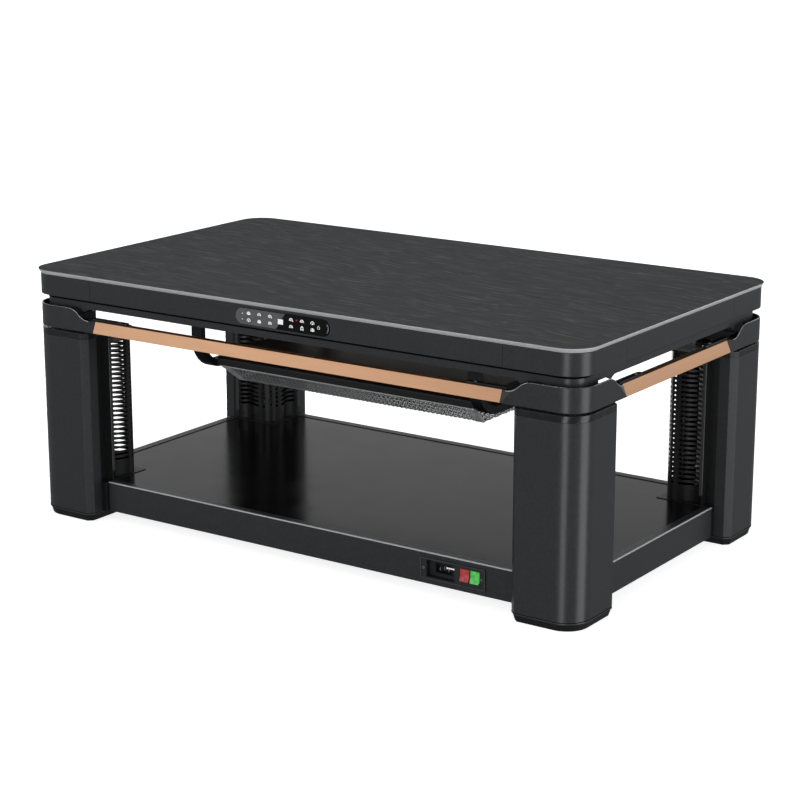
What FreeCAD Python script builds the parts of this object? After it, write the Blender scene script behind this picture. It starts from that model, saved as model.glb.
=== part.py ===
import FreeCAD, Part
import math
import os
import re
import Sketcher

# Coffee table with a lifting top and heaters, for sitting round with a quilt or without.
# Millimetres. +Z is up, X runs along the long side, the control panel faces -Y.
# The origin lies on the floor, under the middle of the table.

doc = FreeCAD.newDocument("lifting_heated_table")
vector = FreeCAD.Vector

sizes = {
    # stone top, the board under it and the polished metal edge
    "top_length": 1380,
    "top_width": 800,
    "table_height": 550,
    "top_corner_radius": 58,
    "plate_thickness": 4,
    "plate_bevel": 1.8,
    "trim_height": 5,
    "trim_setback": 5,
    "trim_band": 30,
    # apron: straight rails and corner pieces of one channel section
    "apron_height": 45,
    "apron_wall": 3,
    "corner_reach": 170,
    "seam_gap": 0.8,
    # steel underframe behind and below the apron
    "under_setback": 16,
    "under_depth": 30,
    "under_drop": 22,
    "tube_wall": 2,
    "neck_wall": 3,
    "neck_clearance": 0.5,
    "neck_roof": 4,
    "lobe_start": 120,
    "lobe_low": 140,
    "lobe_end": 168,
    "lobe_drop": 8,
    "lobe_radius": 30,
    "cross_bar_width": 40,
    "cross_bar_height": 25,
    # collars round the tops of the legs, and the rails between them
    "collar_drop": 21,
    "collar_height": 48,
    "collar_wall": 3,
    "collar_floor": 6,
    "collar_reach": 174,
    "collar_core": 97,
    "collar_edge_round": 1.2,
    "shoulder_start": 106,
    "shoulder_end": 162,
    "rail_height": 24,
    "rail_depth": 26,
    "rail_lean": 10,
    "rail_wall": 2,
    "tongue_length": 95,
    "tongue_lap": 8,
    "tongue_width": 13,
    "tongue_thickness": 5,
    "tongue_setback": 11.5,
    "screw_head_radius": 3.6,
    "screw_head_height": 1.2,
    "tongue_screw_inset": 22,
    # legs
    "lift_gap": 5,
    "cap_height": 14,
    "cap_plate": 4,
    "cap_edge_round": 1.5,
    "foot_height": 19,
    "foot_taper": 6,
    "leg_size": 150,
    "leg_chamfer": 13,
    "leg_lip": 24,
    "leg_wall": 3,
    # heater housing on the inner corner of each leg
    "grille_wall": 2,
    "grille_recess": 1,
    "flange_tip": 165,
    "flange_start": 57,
    "flange_edge": 4,
    "waist_place": 87,
    "waist_level": 147,
    "waist_radius": 45,
    "nose_level": 158,
    "nose_radius": 35,
    "shoulder_radius": 75,
    "slot_height": 5.4,
    "slot_pitch": 10.5,
    "slot_bottom": 120,
    "slot_near": 66,
    "slot_far": 119,
    "slot_wall_span": 24,
    "nose_hole_radius": 3.4,
    "nose_hole_span": 14,
    "leg_heater_place": 100,
    "leg_heater_radius": 6,
    "leg_heater_cap_radius": 9,
    "leg_heater_cap_length": 12,
    # telescopic column, screw and motor inside each leg
    "column_start": 28,
    "column_size": 64,
    "column_wall": 2.5,
    "column_gap": 1.5,
    "inner_column_wall": 2,
    "cap_clearance": 1,
    "inner_column_bottom": 120,
    "nut_height": 25,
    "spindle_radius": 7,
    "spindle_clearance": 0.6,
    "spindle_top": 352,
    "coupler_radius": 11,
    "coupler_height": 7,
    "running_gap": 0.3,
    "gearbox_size": 50,
    "gearbox_height": 30,
    "motor_radius": 22,
    "motor_height": 54,
    "output_radius": 10,
    "output_height": 5,
    # control panel in the front apron
    "panel_length": 236,
    "panel_level": 23.5,
    "panel_height": 34,
    "panel_proud": 0.6,
    "panel_fit": 0.3,
    "panel_flange": 1.2,
    "panel_flange_thickness": 2,
    "board_length": 200,
    "board_height": 24,
    "board_thickness": 1.6,
    "board_post_radius": 3,
    "board_post_height": 2,
    "board_post_inset": 6,
    # heater slung under the middle of the top
    "hanger_place": 354,
    "hanger_width": 26,
    "hanger_thickness": 16,
    "hanger_reach": 240,
    "hanger_radius": 70,
    "hanger_drop": 181,
    "heater_length": 658,
    "heater_width": 400,
    "heater_height": 25,
    "heater_sink": 6,
    "heater_lip_height": 18,
    "heater_lip_round": 6,
    "heater_rim": 14,
    "heater_shoulder": 26,
    "heater_roof": 4,
    "heater_tab_width": 60,
    "heater_tab_thickness": 3,
    "guard_margin": 3,
    "guard_depth": 43,
    "guard_slope": 55,
    "guard_end_slope": 10,
    "guard_sheet": 1.5,
    "guard_bar": 4,
    "guard_border": 12,
    "guard_brim": 6,
    "reflector_sheet": 1.5,
    "heater_tube_radius": 6,
    "heater_tube_spread": 100,
    "heater_tube_clearance": 0.3,
    "heater_tube_length": 600,
    "holder_thickness": 14,
    "holder_drop": 34,
    "holder_overhang": 20,
    # shelf
    "shelf_length": 1300,
    "shelf_width": 700,
    "shelf_height": 66,
    "shelf_rim": 20,
    "shelf_corner": 165,
    "shelf_wall": 2,
    "shelf_edge_round": 1.5,
    "shelf_panel_thickness": 6,
    "shelf_panel_sink": 1.5,
    "shelf_panel_gap": 1.5,
    "shelf_ledge_width": 10,
    "shelf_ledge_thickness": 3,
    "bottom_cover_thickness": 2,
    "bracket_width": 35,
    "bracket_wall": 3,
    # switch plate, inlet and power box in the front of the shelf
    "switch_place": 380,
    "switch_level": 52,
    "switch_length": 152,
    "switch_height": 44,
    "switch_thickness": 2.5,
    "switch_window_margin": 3,
    "switch_window_end": 9,
    "recess_place": -28,
    "recess_length": 66,
    "recess_height": 35,
    "recess_depth": 14,
    "recess_wall": 1.5,
    "inlet_length": 44,
    "inlet_height": 24,
    "inlet_depth": 12,
    "inlet_wall": 3,
    "pin_width": 2,
    "pin_height": 6,
    "pin_length": 9,
    "pin_spread": 10,
    "rocker_width": 20.4,
    "rocker_height": 25.6,
    "rocker_gap": 1.1,
    "rocker_side_gap": 0.3,
    "rocker_spacing": 24,
    "rocker_place": 41,
    "rocker_rise": 2,
    "rocker_lift": 3,
    "rocker_dish": 2.4,
    "rocker_depth": 9,
    "rocker_frame_wall": 1.2,
    "rocker_frame_depth": 12,
    "rocker_axis_depth": 2,
    "rocker_tilt": 8,
    "plate_screw_margin": 8,
    "plate_screw_radius": 2.6,
    "plate_screw_height": 1,
    "power_box_length": 160,
    "power_box_depth": 90,
    "power_box_height": 44,
    "power_box_setback": 40,
    # one overrun for every tool that cuts right through
    "overrun": 5,
}

slot_rows = 26
nose_hole_turns = (-27, 0, 27)
guard_windows = 24
guard_stringers = 7
# the outer pins of the inlet stand lower than the middle one, in shares of a pin's height
pin_rise_shares = (-0.25, 0.25, -0.25)
# the height of a rocker's back, as a share of its front
rocker_back_share = 0.6

sheet = doc.addObject("Spreadsheet::Sheet", "Sizes")
for row, (alias, value) in enumerate(sizes.items(), start=1):
    sheet.set(f"A{row}", alias)
    sheet.set(f"B{row}", str(value))
    sheet.setAlias(f"B{row}", alias)
doc.recompute()


def linked(text):
    """Put the sheet's name before every alias in an expression."""
    return re.sub(r"[a-z_]+", lambda word: "Sizes." + word[0] if word[0] in sizes else word[0], text)


def number(text):
    """Work out an expression of the sheet's sizes."""
    return float(sheet.evalExpression(linked(text)))


# planes and levels that several pieces share
half_length = "(top_length / 2 - trim_setback)"
half_width = "(top_width / 2 - trim_setback)"
frame_radius = "(top_corner_radius - trim_setback)"
plate_bottom = "(table_height - plate_thickness)"
trim_bottom = f"({plate_bottom} - trim_height)"
apron_bottom = f"({trim_bottom} - apron_height)"
panel_middle = f"({trim_bottom} - panel_level)"
under_bottom = f"({apron_bottom} - under_drop)"
under_inner = "(under_setback + under_depth)"
collar_top = f"({apron_bottom} - collar_drop)"
collar_bottom = f"({collar_top} - collar_height)"
neck_bottom = f"({collar_bottom} + collar_floor)"
rail_top = f"({collar_bottom} + rail_height)"
tongue_top = f"({rail_top} + tongue_thickness)"
cap_top = f"({collar_bottom} - lift_gap)"
cap_bottom = f"({cap_top} - cap_height)"
column_end = "(column_start + column_size)"
column_middle = "(column_start + column_size / 2)"
inner_start = "(column_start + column_wall + column_gap)"
inner_end = "(column_start + column_size - column_wall - column_gap)"
inner_top = f"({under_bottom} - neck_roof)"
motor_top = "(foot_height + gearbox_height + motor_height + output_height)"
spindle_bottom = f"({motor_top} + running_gap)"
cross_bar_bottom = f"({trim_bottom} - cross_bar_height)"
hanger_bottom = f"({cross_bar_bottom} - hanger_drop)"
hanger_bar_top = f"({hanger_bottom} + hanger_thickness)"
heater_bottom = f"({hanger_bar_top} - heater_sink)"
heater_top = f"({heater_bottom} + heater_height)"
heater_ceiling = f"({heater_top} - heater_roof)"
guard_bottom = f"({heater_bottom} - guard_depth)"
shelf_top = "(foot_height + shelf_height)"
panel_top = f"({shelf_top} - shelf_panel_sink)"
panel_bottom = f"({panel_top} - shelf_panel_thickness)"
cover_top = "(foot_height + bottom_cover_thickness)"
notch_x = f"({half_length} - shelf_corner)"
notch_y = f"({half_width} - shelf_corner)"
shelf_face = "(shelf_width / 2)"
recess_middle = "(switch_place + recess_place)"
rocker_level = "(switch_level + rocker_rise)"

# how far a wall's inner line moves along the next face where two faces meet at 45 degrees
bevel = "tan(22.5 deg)"


def arc(here, there, radius, turn):
    """The short arc between two spots: ccw keeps its centre on the left, cw on the right."""
    along = there - here
    rise = math.sqrt(max(radius**2 - (along.Length / 2) ** 2, 0))
    left = vector(-along.y, along.x, 0).normalize()
    side = 1 if turn == "ccw" else -1
    centre = here + along / 2 + left * rise * side
    first, last = (here, there) if turn == "ccw" else (there, here)
    start = math.atan2(first.y - centre.y, first.x - centre.x)
    end = math.atan2(last.y - centre.y, last.x - centre.x)
    return Part.ArcOfCircle(Part.Circle(centre, vector(0, 0, 1), radius), start, end)


def bind(drawing, *constraint, size):
    """Add a constraint whose value follows the sheet."""
    index = drawing.addConstraint(Sketcher.Constraint(*constraint, number(size)))
    drawing.setExpression(f"Constraints[{index}]", linked(size))


def draw(drawing, loop):
    """Draw a closed loop of spots. A text after a spot is the arc that leaves it."""
    spots, arcs = [], []
    for step in loop:
        if isinstance(step, tuple):
            spots.append(step)
            arcs.append(None)
        else:
            arcs[-1] = step.split(" ", 1)
    places = [vector(number(across), number(up), 0) for across, up in spots]
    first = drawing.GeometryCount
    ends = []
    for index, curve in enumerate(arcs):
        here, there = places[index], places[(index + 1) % len(places)]
        if curve is None:
            drawing.addGeometry(Part.LineSegment(here, there))
            ends.append((1, 2))
        else:
            turn, radius = curve
            drawing.addGeometry(arc(here, there, number(radius), turn))
            ends.append((1, 2) if turn == "ccw" else (2, 1))
    for index, ((across, up), curve) in enumerate(zip(spots, arcs)):
        edge, follower = first + index, first + (index + 1) % len(spots)
        start, end = ends[index]
        next_start = ends[(index + 1) % len(spots)][0]
        drawing.addConstraint(Sketcher.Constraint("Coincident", edge, end, follower, next_start))
        bind(drawing, "DistanceX", -1, 1, edge, start, size=across)
        bind(drawing, "DistanceY", -1, 1, edge, start, size=up)
        if curve is None:
            continue
        chord = places[index].distanceToPoint(places[(index + 1) % len(places)])
        if math.isclose(chord, 2 * number(curve[1])):
            drawing.addConstraint(Sketcher.Constraint("Symmetric", edge, 1, edge, 2, edge, 3))
        else:
            bind(drawing, "Radius", edge, size=curve[1])


def sketched(body, plane, level, *loops):
    """A sketch on one of the body's own planes, moved along the plane's axis."""
    drawing = body.newObject("Sketcher::SketchObject", body.Name + "_outline")
    origin_plane = next(part for part in body.Origin.OriginFeatures if part.Role == plane)
    drawing.AttachmentSupport = (origin_plane, [""])
    drawing.MapMode = "FlatFace"
    drawing.setExpression(".AttachmentOffset.Base.z", linked(level))
    for loop in loops:
        draw(drawing, loop)
    return drawing


def solid(name, plane, span, *loops):
    """A body padded from its outline, from the low to the high end of the span."""
    low, high = span
    body = doc.addObject("PartDesign::Body", name)
    # the XZ plane looks towards -Y, so its pads start at the high end
    level = f"-({high})" if plane == "XZ_Plane" else low
    drawing = sketched(body, plane, level, *loops)
    pad = body.newObject("PartDesign::Pad", name + "_pad")
    pad.Profile = drawing
    pad.setExpression("Length", linked(f"({high}) - ({low})"))
    return body


def upright(name, span, *loops):
    return solid(name, "XY_Plane", span, *loops)


def lofted(name, *sections):
    """A body with straight sides from one level's outline to the next one's."""
    body = doc.addObject("PartDesign::Body", name)
    drawings = [sketched(body, "XY_Plane", level, loop) for level, loop in sections]
    loft = body.newObject("PartDesign::AdditiveLoft", name + "_loft")
    loft.Profile = drawings[0]
    loft.Sections = drawings[1:]
    loft.Ruled = True
    return body


def box(name, across, along, up):
    piece = doc.addObject("Part::Box", name)
    for side, axis, (low, high) in zip(("Length", "Width", "Height"), "xyz", (across, along, up)):
        piece.setExpression(side, linked(f"({high}) - ({low})"))
        piece.setExpression(f"Placement.Base.{axis}", linked(low))
    return piece


def cylinder(name, radius, length, base, axis=(0, 0, 1), turn="0"):
    """A cylinder from its base along an axis, turned about Z by an angle in degrees."""
    piece = doc.addObject("Part::Cylinder", name)
    piece.setExpression("Radius", linked(radius))
    piece.setExpression("Height", linked(length))
    upright_turn = FreeCAD.Rotation(vector(0, 0, 1), vector(*axis))
    piece.Placement.Rotation = FreeCAD.Rotation(vector(0, 0, 1), float(turn)) * upright_turn
    for side, place in zip("xyz", base):
        piece.setExpression(f"Placement.Base.{side}", linked(place))
    return piece


def group(name, *pieces):
    piece = doc.addObject("Part::Compound", name)
    piece.Links = list(pieces)
    return piece


def cut(name, base, *tools):
    piece = doc.addObject("Part::Cut", name)
    piece.Base = base
    piece.Tool = tools[0] if len(tools) == 1 else fuse(name + "_tools", *tools)
    return piece


def fuse(name, *pieces):
    piece = doc.addObject("Part::MultiFuse", name)
    piece.Shapes = list(pieces)
    piece.Refine = True
    return piece


def common(name, first, second):
    piece = doc.addObject("Part::Common", name)
    piece.Base = first
    piece.Tool = second
    return piece


def rounded_edges(name, source, radius, chosen):
    """Round the edges that the test chooses."""
    doc.recompute()
    size = number(radius)
    piece = doc.addObject("Part::Fillet", name)
    piece.Base = source
    edges = source.Shape.Edges
    piece.Edges = [(index, size, size) for index, edge in enumerate(edges, start=1) if chosen(edge)]
    return piece


def at_level(level):
    """The test for edges that lie flat at a level."""
    height = number(level)

    def flat(edge):
        low, high = edge.BoundBox.ZMin, edge.BoundBox.ZMax
        return math.isclose(low, height, abs_tol=1e-6) and math.isclose(high, height, abs_tol=1e-6)

    return flat


def mirrored(name, source, *normal):
    piece = doc.addObject("Part::Mirroring", name)
    piece.Source = source
    piece.Normal = vector(*normal)
    return piece


def named(piece, label):
    piece.Label = label
    return piece


def four_copies(name, source):
    """The piece of the front left corner and its three mirror images."""
    right = mirrored(name + "_right_copy", source, 1, 0, 0)
    back = mirrored(name + "_back_copy", source, 0, 1, 0)
    far = mirrored(name + "_far_copy", right, 0, 1, 0)
    return [source, right, back, far]


corner_names = ("front_left", "front_right", "back_left", "back_right")


def four_nodes(name, source):
    for piece, place in zip(four_copies(name, source), corner_names):
        named(piece, f"{name}_{place}")


def four_in_one(name, source):
    named(group(name, *four_copies(name + "_one", source)), name)


def pair(name, source, *normal):
    named(group(name, source, mirrored(name + "_opposite", source, *normal)), name)


def from_corner(inward_x, inward_y):
    """Two inward distances from the outer faces of the front left corner, as a place."""
    return f"(-{half_length} + ({inward_x}))", f"(-{half_width} + ({inward_y}))"


def corner_loop(*steps):
    return [from_corner(*step) if isinstance(step, tuple) else step for step in steps]


def both_sides(half, middle, closing):
    """Finish a corner outline that is the same on both sides of the diagonal."""
    back = [step[::-1] if isinstance(step, tuple) else step for step in reversed(half)]
    steps = half + [middle] * bool(middle) + back + [closing] * bool(closing)
    return corner_loop(*steps)


def corner_square(low, high):
    return corner_loop((low, low), (high, low), (high, high), (low, high))


def rectangle(left, right, front, back):
    return [(left, front), (right, front), (right, back), (left, back)]


def rounded_rectangle(half_x, half_y, radius):
    """An outline with round corners about the middle."""
    x_in, y_in, bend = f"({half_x} - {radius})", f"({half_y} - {radius})", f"ccw {radius}"
    return [
        (f"-{x_in}", f"-{half_y}"),
        (x_in, f"-{half_y}"),
        bend,
        (half_x, f"-{y_in}"),
        (half_x, y_in),
        bend,
        (x_in, half_y),
        (f"-{x_in}", half_y),
        bend,
        (f"-{half_x}", y_in),
        (f"-{half_x}", f"-{y_in}"),
        bend,
    ]


def frame_outline(inset):
    """The outline of the frame, inset from the apron's outer face."""
    return rounded_rectangle(
        f"({half_length} - {inset})", f"({half_width} - {inset})", f"({frame_radius} - {inset})"
    )


def stadium(middle_x, middle_z, length, height):
    """An outline with two straight sides and fully round ends."""
    left = f"({middle_x} - ({length}) / 2 + ({height}) / 2)"
    right = f"({middle_x} + ({length}) / 2 - ({height}) / 2)"
    low, high = f"({middle_z} - ({height}) / 2)", f"({middle_z} + ({height}) / 2)"
    bend = f"ccw ({height}) / 2"
    return [(left, low), (right, low), bend, (right, high), (left, high), bend]


def top():
    bevelled = rounded_rectangle(
        "(top_length / 2 - plate_bevel)", "(top_width / 2 - plate_bevel)", "(top_corner_radius - plate_bevel)"
    )
    widest = rounded_rectangle("(top_length / 2)", "(top_width / 2)", "(top_corner_radius)")
    named(lofted("top_plate", (plate_bottom, bevelled), ("table_height", widest)), "top_plate")
    edge = lofted("trim_blank", (trim_bottom, frame_outline("0")), (plate_bottom, bevelled))
    inside = frame_outline("trim_band")
    hole = upright("trim_hole", (f"{trim_bottom} - overrun", f"{plate_bottom} + overrun"), inside)
    named(cut("trim_ring", edge, hole), "top_edge_trim")
    named(upright("top_board", (trim_bottom, plate_bottom), inside), "top_board")


def apron():
    span = (apron_bottom, trim_bottom)
    blank = upright("apron_blank", span, frame_outline("0"), frame_outline("under_setback"))
    channel = (f"{apron_bottom} + apron_wall", f"{trim_bottom} - apron_wall")
    past = frame_outline("(under_setback + overrun)")
    cavity = upright("apron_cavity", channel, frame_outline("apron_wall"), past)
    ring = cut("apron_ring", blank, cavity)

    seam_x = f"({half_length} - corner_reach)"
    seam_y = f"({half_width} - corner_reach)"
    edge_x, edge_y = f"({half_length} + overrun)", f"({half_width} + overrun)"
    along = (f"-{seam_x} + seam_gap / 2", f"{seam_x} - seam_gap / 2")
    across = (f"-{seam_y} + seam_gap / 2", f"{seam_y} - seam_gap / 2")
    front = common("apron_front_bar", ring, box("apron_front_part", along, (f"-{edge_y}", "0"), span))
    window = solid(
        "panel_window",
        "XZ_Plane",
        (f"-{edge_y}", f"-{half_width} + under_setback"),
        stadium("0", panel_middle, "panel_length + 2 * panel_fit", "panel_height + 2 * panel_fit"),
    )
    named(cut("apron_front", front, window), "apron_front")
    back = box("apron_back_part", along, ("0", edge_y), span)
    named(common("apron_back", ring, back), "apron_back")
    left = common("apron_left", ring, box("apron_left_part", (f"-{edge_x}", "0"), across, span))
    named(left, "apron_left")
    named(mirrored("apron_right", left, 1, 0, 0), "apron_right")
    corner_part = box(
        "apron_corner_part",
        (f"-{edge_x}", f"-{seam_x} - seam_gap / 2"),
        (f"-{edge_y}", f"-{seam_y} - seam_gap / 2"),
        span,
    )
    four_in_one("apron_corners", common("apron_corner", ring, corner_part))


def underframe():
    span = (under_bottom, trim_bottom)
    ring = cut(
        "under_ring",
        upright("under_blank", span, frame_outline("under_setback"), frame_outline(under_inner)),
        upright(
            "under_cavity",
            (f"{under_bottom} + tube_wall", f"{trim_bottom} - tube_wall"),
            frame_outline("(under_setback + tube_wall)"),
            frame_outline(f"({under_inner} - tube_wall)"),
        ),
    )
    seam_x = f"({half_length} - corner_reach)"
    seam_y = f"({half_width} - corner_reach)"
    front_part = box("under_front_part", (f"-{seam_x}", seam_x), (f"-{half_width}", "0"), span)
    left_part = box("under_left_part", (f"-{half_length}", "0"), (f"-{seam_y}", seam_y), span)
    front = common("under_front", ring, front_part)
    left = common("under_left", ring, left_part)
    back = mirrored("under_back", front, 0, 1, 0)
    right = mirrored("under_right", left, 1, 0, 0)
    named(group("underframe_rails", front, back, left, right), "underframe_rails")

    corner_part = box(
        "under_corner_part",
        (f"-{half_length}", f"-{seam_x}"),
        (f"-{half_width}", f"-{seam_y}"),
        span,
    )
    bend = f"({frame_radius} - under_setback)"
    inside = "(under_setback + neck_wall)"
    far_inside = f"({inner_end} + neck_clearance)"
    far = f"({far_inside} + neck_wall)"
    neck = upright(
        "neck_blank",
        (neck_bottom, under_bottom),
        both_sides([(frame_radius, "under_setback"), (far, "under_setback")], (far, far), f"ccw {bend}"),
    )
    pocket = upright(
        "neck_pocket",
        (f"{neck_bottom} - overrun", inner_top),
        both_sides(
            [(frame_radius, inside), (far_inside, inside)],
            (far_inside, far_inside),
            f"ccw ({bend} - neck_wall)",
        ),
    )
    socket = upright(
        "neck_socket",
        (neck_bottom, inner_top),
        corner_square(f"{inner_start} - neck_clearance - neck_wall", far),
        corner_square(f"{inner_start} - neck_clearance", far_inside),
    )
    # the lower edge of the casting follows the shoulder of the collar down, then curves back up
    start, lowest, end = (from_corner(place, "0")[0] for place in ("lobe_start", "lobe_low", "lobe_end"))
    lobe = solid(
        "under_lobe",
        "XZ_Plane",
        (f"-{half_width} + under_setback", f"-{half_width} + under_setback + neck_wall"),
        [
            (start, under_bottom),
            (lowest, f"{under_bottom} - lobe_drop"),
            "cw lobe_radius",
            (end, under_bottom),
            (end, f"{under_bottom} + tube_wall"),
            (start, f"{under_bottom} + tube_wall"),
        ],
    )
    corner = fuse(
        "under_corner",
        common("under_corner_bend", ring, corner_part),
        cut("neck_shell", neck, pocket),
        socket,
        lobe,
        across_diagonal("under_lobe_side", lobe),
    )
    four_in_one("underframe_corners", corner)

    reach = f"({half_width} - {under_inner})"
    bars = []
    for name, place in (("left", "-hanger_place"), ("middle", "0"), ("right", "hanger_place")):
        across = (f"{place} - cross_bar_width / 2", f"{place} + cross_bar_width / 2")
        outer = box(f"cross_bar_{name}_blank", across, (f"-{reach}", reach), (cross_bar_bottom, trim_bottom))
        inner = box(
            f"cross_bar_{name}_bore",
            (f"{across[0]} + tube_wall", f"{across[1]} - tube_wall"),
            (f"-{reach} - overrun", f"{reach} + overrun"),
            (f"{cross_bar_bottom} + tube_wall", f"{trim_bottom} - tube_wall"),
        )
        bars.append(cut(f"cross_bar_{name}", outer, inner))
    named(group("cross_bars", *bars), "cross_bars")


def column():
    outer = upright(
        "outer_column",
        ("foot_height", cap_bottom),
        corner_square("column_start", column_end),
        corner_square("column_start + column_wall", f"{column_end} - column_wall"),
    )
    four_in_one("outer_columns", outer)
    bore = (f"{inner_start} + inner_column_wall", f"{inner_end} - inner_column_wall")
    inner = upright(
        "inner_column",
        ("inner_column_bottom", inner_top),
        corner_square(inner_start, inner_end),
        corner_square(*bore),
    )
    four_in_one("inner_columns", inner)

    middle = from_corner(column_middle, column_middle)
    nut = cut(
        "spindle_nut",
        upright(
            "nut_block", ("inner_column_bottom", "inner_column_bottom + nut_height"), corner_square(*bore)
        ),
        cylinder(
            "nut_bore",
            "spindle_radius + spindle_clearance",
            "nut_height + 2 * overrun",
            (*middle, "inner_column_bottom - overrun"),
        ),
    )
    four_in_one("spindle_nuts", nut)
    spindle = fuse(
        "spindle",
        cylinder(
            "spindle_rod", "spindle_radius", f"spindle_top - {spindle_bottom}", (*middle, spindle_bottom)
        ),
        cylinder("spindle_coupler", "coupler_radius", "coupler_height", (*middle, spindle_bottom)),
    )
    four_nodes("spindle", spindle)
    half = "gearbox_size / 2"
    gearbox = corner_square(f"{column_middle} - {half}", f"{column_middle} + {half}")
    motor = fuse(
        "lift_motor",
        upright("gearbox", ("foot_height", "foot_height + gearbox_height"), gearbox),
        cylinder("motor_can", "motor_radius", "motor_height", (*middle, "foot_height + gearbox_height")),
        cylinder(
            "motor_output", "output_radius", "output_height", (*middle, f"{motor_top} - output_height")
        ),
    )
    four_in_one("lift_motors", motor)


def shoulder_cut(name):
    """What is cut away over the arm of a collar: the arm's top edge falls in an S."""
    start, end = from_corner("shoulder_start", "0")[0], from_corner("shoulder_end", "0")[0]
    fall = f"({collar_top} - {rail_top})"
    run = "(shoulder_end - shoulder_start)"
    bend = f"(({run}^2 + {fall}^2) / (4 * {fall}))"
    middle = (f"({start} + {run} / 2)", f"({rail_top} + {fall} / 2)")
    above = f"({collar_top} + overrun)"
    past = f"({from_corner('collar_reach', '0')[0]} + overrun)"
    loop = [
        (start, collar_top),
        f"cw {bend}",
        middle,
        f"ccw {bend}",
        (end, rail_top),
        (past, rail_top),
        (past, above),
        (start, above),
    ]
    low, high = f"-{half_width} - overrun", f"-{half_width} + collar_reach + overrun"
    return solid(name, "XZ_Plane", (low, high), loop)


def across_diagonal(name, source):
    """The same piece on the other side of the front left corner's diagonal."""
    piece = mirrored(name, source, 1, -1, 0)
    piece.setExpression("Base.x", linked(f"-({half_length} - {half_width}) / 2"))
    piece.setExpression("Base.y", linked(f"({half_length} - {half_width}) / 2"))
    return piece


def collar_facet():
    """What turns the end of a collar's arm, on a slanting line, to the slope of the rail's face."""

    def crossing(level):
        start = f"(collar_reach - ({level} - {collar_bottom}))"
        past = f"({start} + 2 * rail_height)"
        outer = [(start, "-overrun"), (past, "-overrun")]
        return level, corner_loop(*outer, (past, "2 * rail_lean"), (start, "0"))

    return lofted(
        "collar_facet", crossing(f"({collar_bottom} - overrun)"), crossing(f"({rail_top} + overrun)")
    )


def collars():
    inner_bend = f"({frame_radius} - collar_wall)"
    inner_face = "(rail_depth - collar_wall)"
    blank = upright(
        "collar_blank",
        (collar_bottom, collar_top),
        both_sides(
            [
                (frame_radius, "0"),
                ("collar_reach", "0"),
                ("collar_reach", "rail_depth"),
                ("collar_core", "rail_depth"),
            ],
            ("collar_core", "collar_core"),
            f"ccw {frame_radius}",
        ),
    )
    arm_end = "(collar_reach - rail_height - collar_wall)"
    core = "(collar_core - collar_wall)"
    cavity = upright(
        "collar_cavity",
        (neck_bottom, f"{collar_top} + overrun"),
        both_sides(
            [
                (frame_radius, "collar_wall"),
                (arm_end, "collar_wall"),
                (arm_end, inner_face),
                (core, inner_face),
            ],
            (core, core),
            f"ccw {inner_bend}",
        ),
    )
    column_hole = upright(
        "collar_hole",
        (f"{collar_bottom} - overrun", f"{neck_bottom} + overrun"),
        corner_square(f"{inner_start} - neck_clearance", f"{inner_end} + neck_clearance"),
    )
    falling = shoulder_cut("collar_shoulder")
    facet = collar_facet()
    past = "(collar_reach + overrun)"
    inner_side = upright(
        "collar_inner_cut",
        (rail_top, f"{collar_top} + overrun"),
        both_sides([(frame_radius, "collar_wall"), (past, "collar_wall")], (past, past), "")
        + corner_loop((frame_radius, frame_radius)),
    )
    shell = cut("collar_shell", blank, cavity)
    hole = cut("collar_with_hole", shell, column_hole)
    shaped = cut("collar_front_shaped", hole, falling)
    shaped = cut("collar_shaped", shaped, across_diagonal("collar_side_shoulder", falling))
    shaped = cut("collar_open", shaped, inner_side)
    shaped = cut("collar_front_turned", shaped, facet)
    shaped = cut("collar_turned", shaped, across_diagonal("collar_side_facet", facet))
    top_edges = at_level(collar_top)
    widest = number(f"({inner_bend} + collar_wall / 2)")
    near_x, near_y = number(f"-{half_length} + collar_wall / 2"), number(f"-{half_width} + collar_wall / 2")

    def outer_top(edge):
        """The top edge on the outside, from one arm round the corner to the other."""
        if edge.Curve.TypeId == "Part::GeomCircle":
            return top_edges(edge) and edge.Curve.Radius > widest
        middle = edge.CenterOfMass
        return top_edges(edge) and (middle.x < near_x or middle.y < near_y)

    shaped = rounded_edges("collar_rounded", shaped, "collar_edge_round", outer_top)
    four_nodes("collar", shaped)


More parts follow.
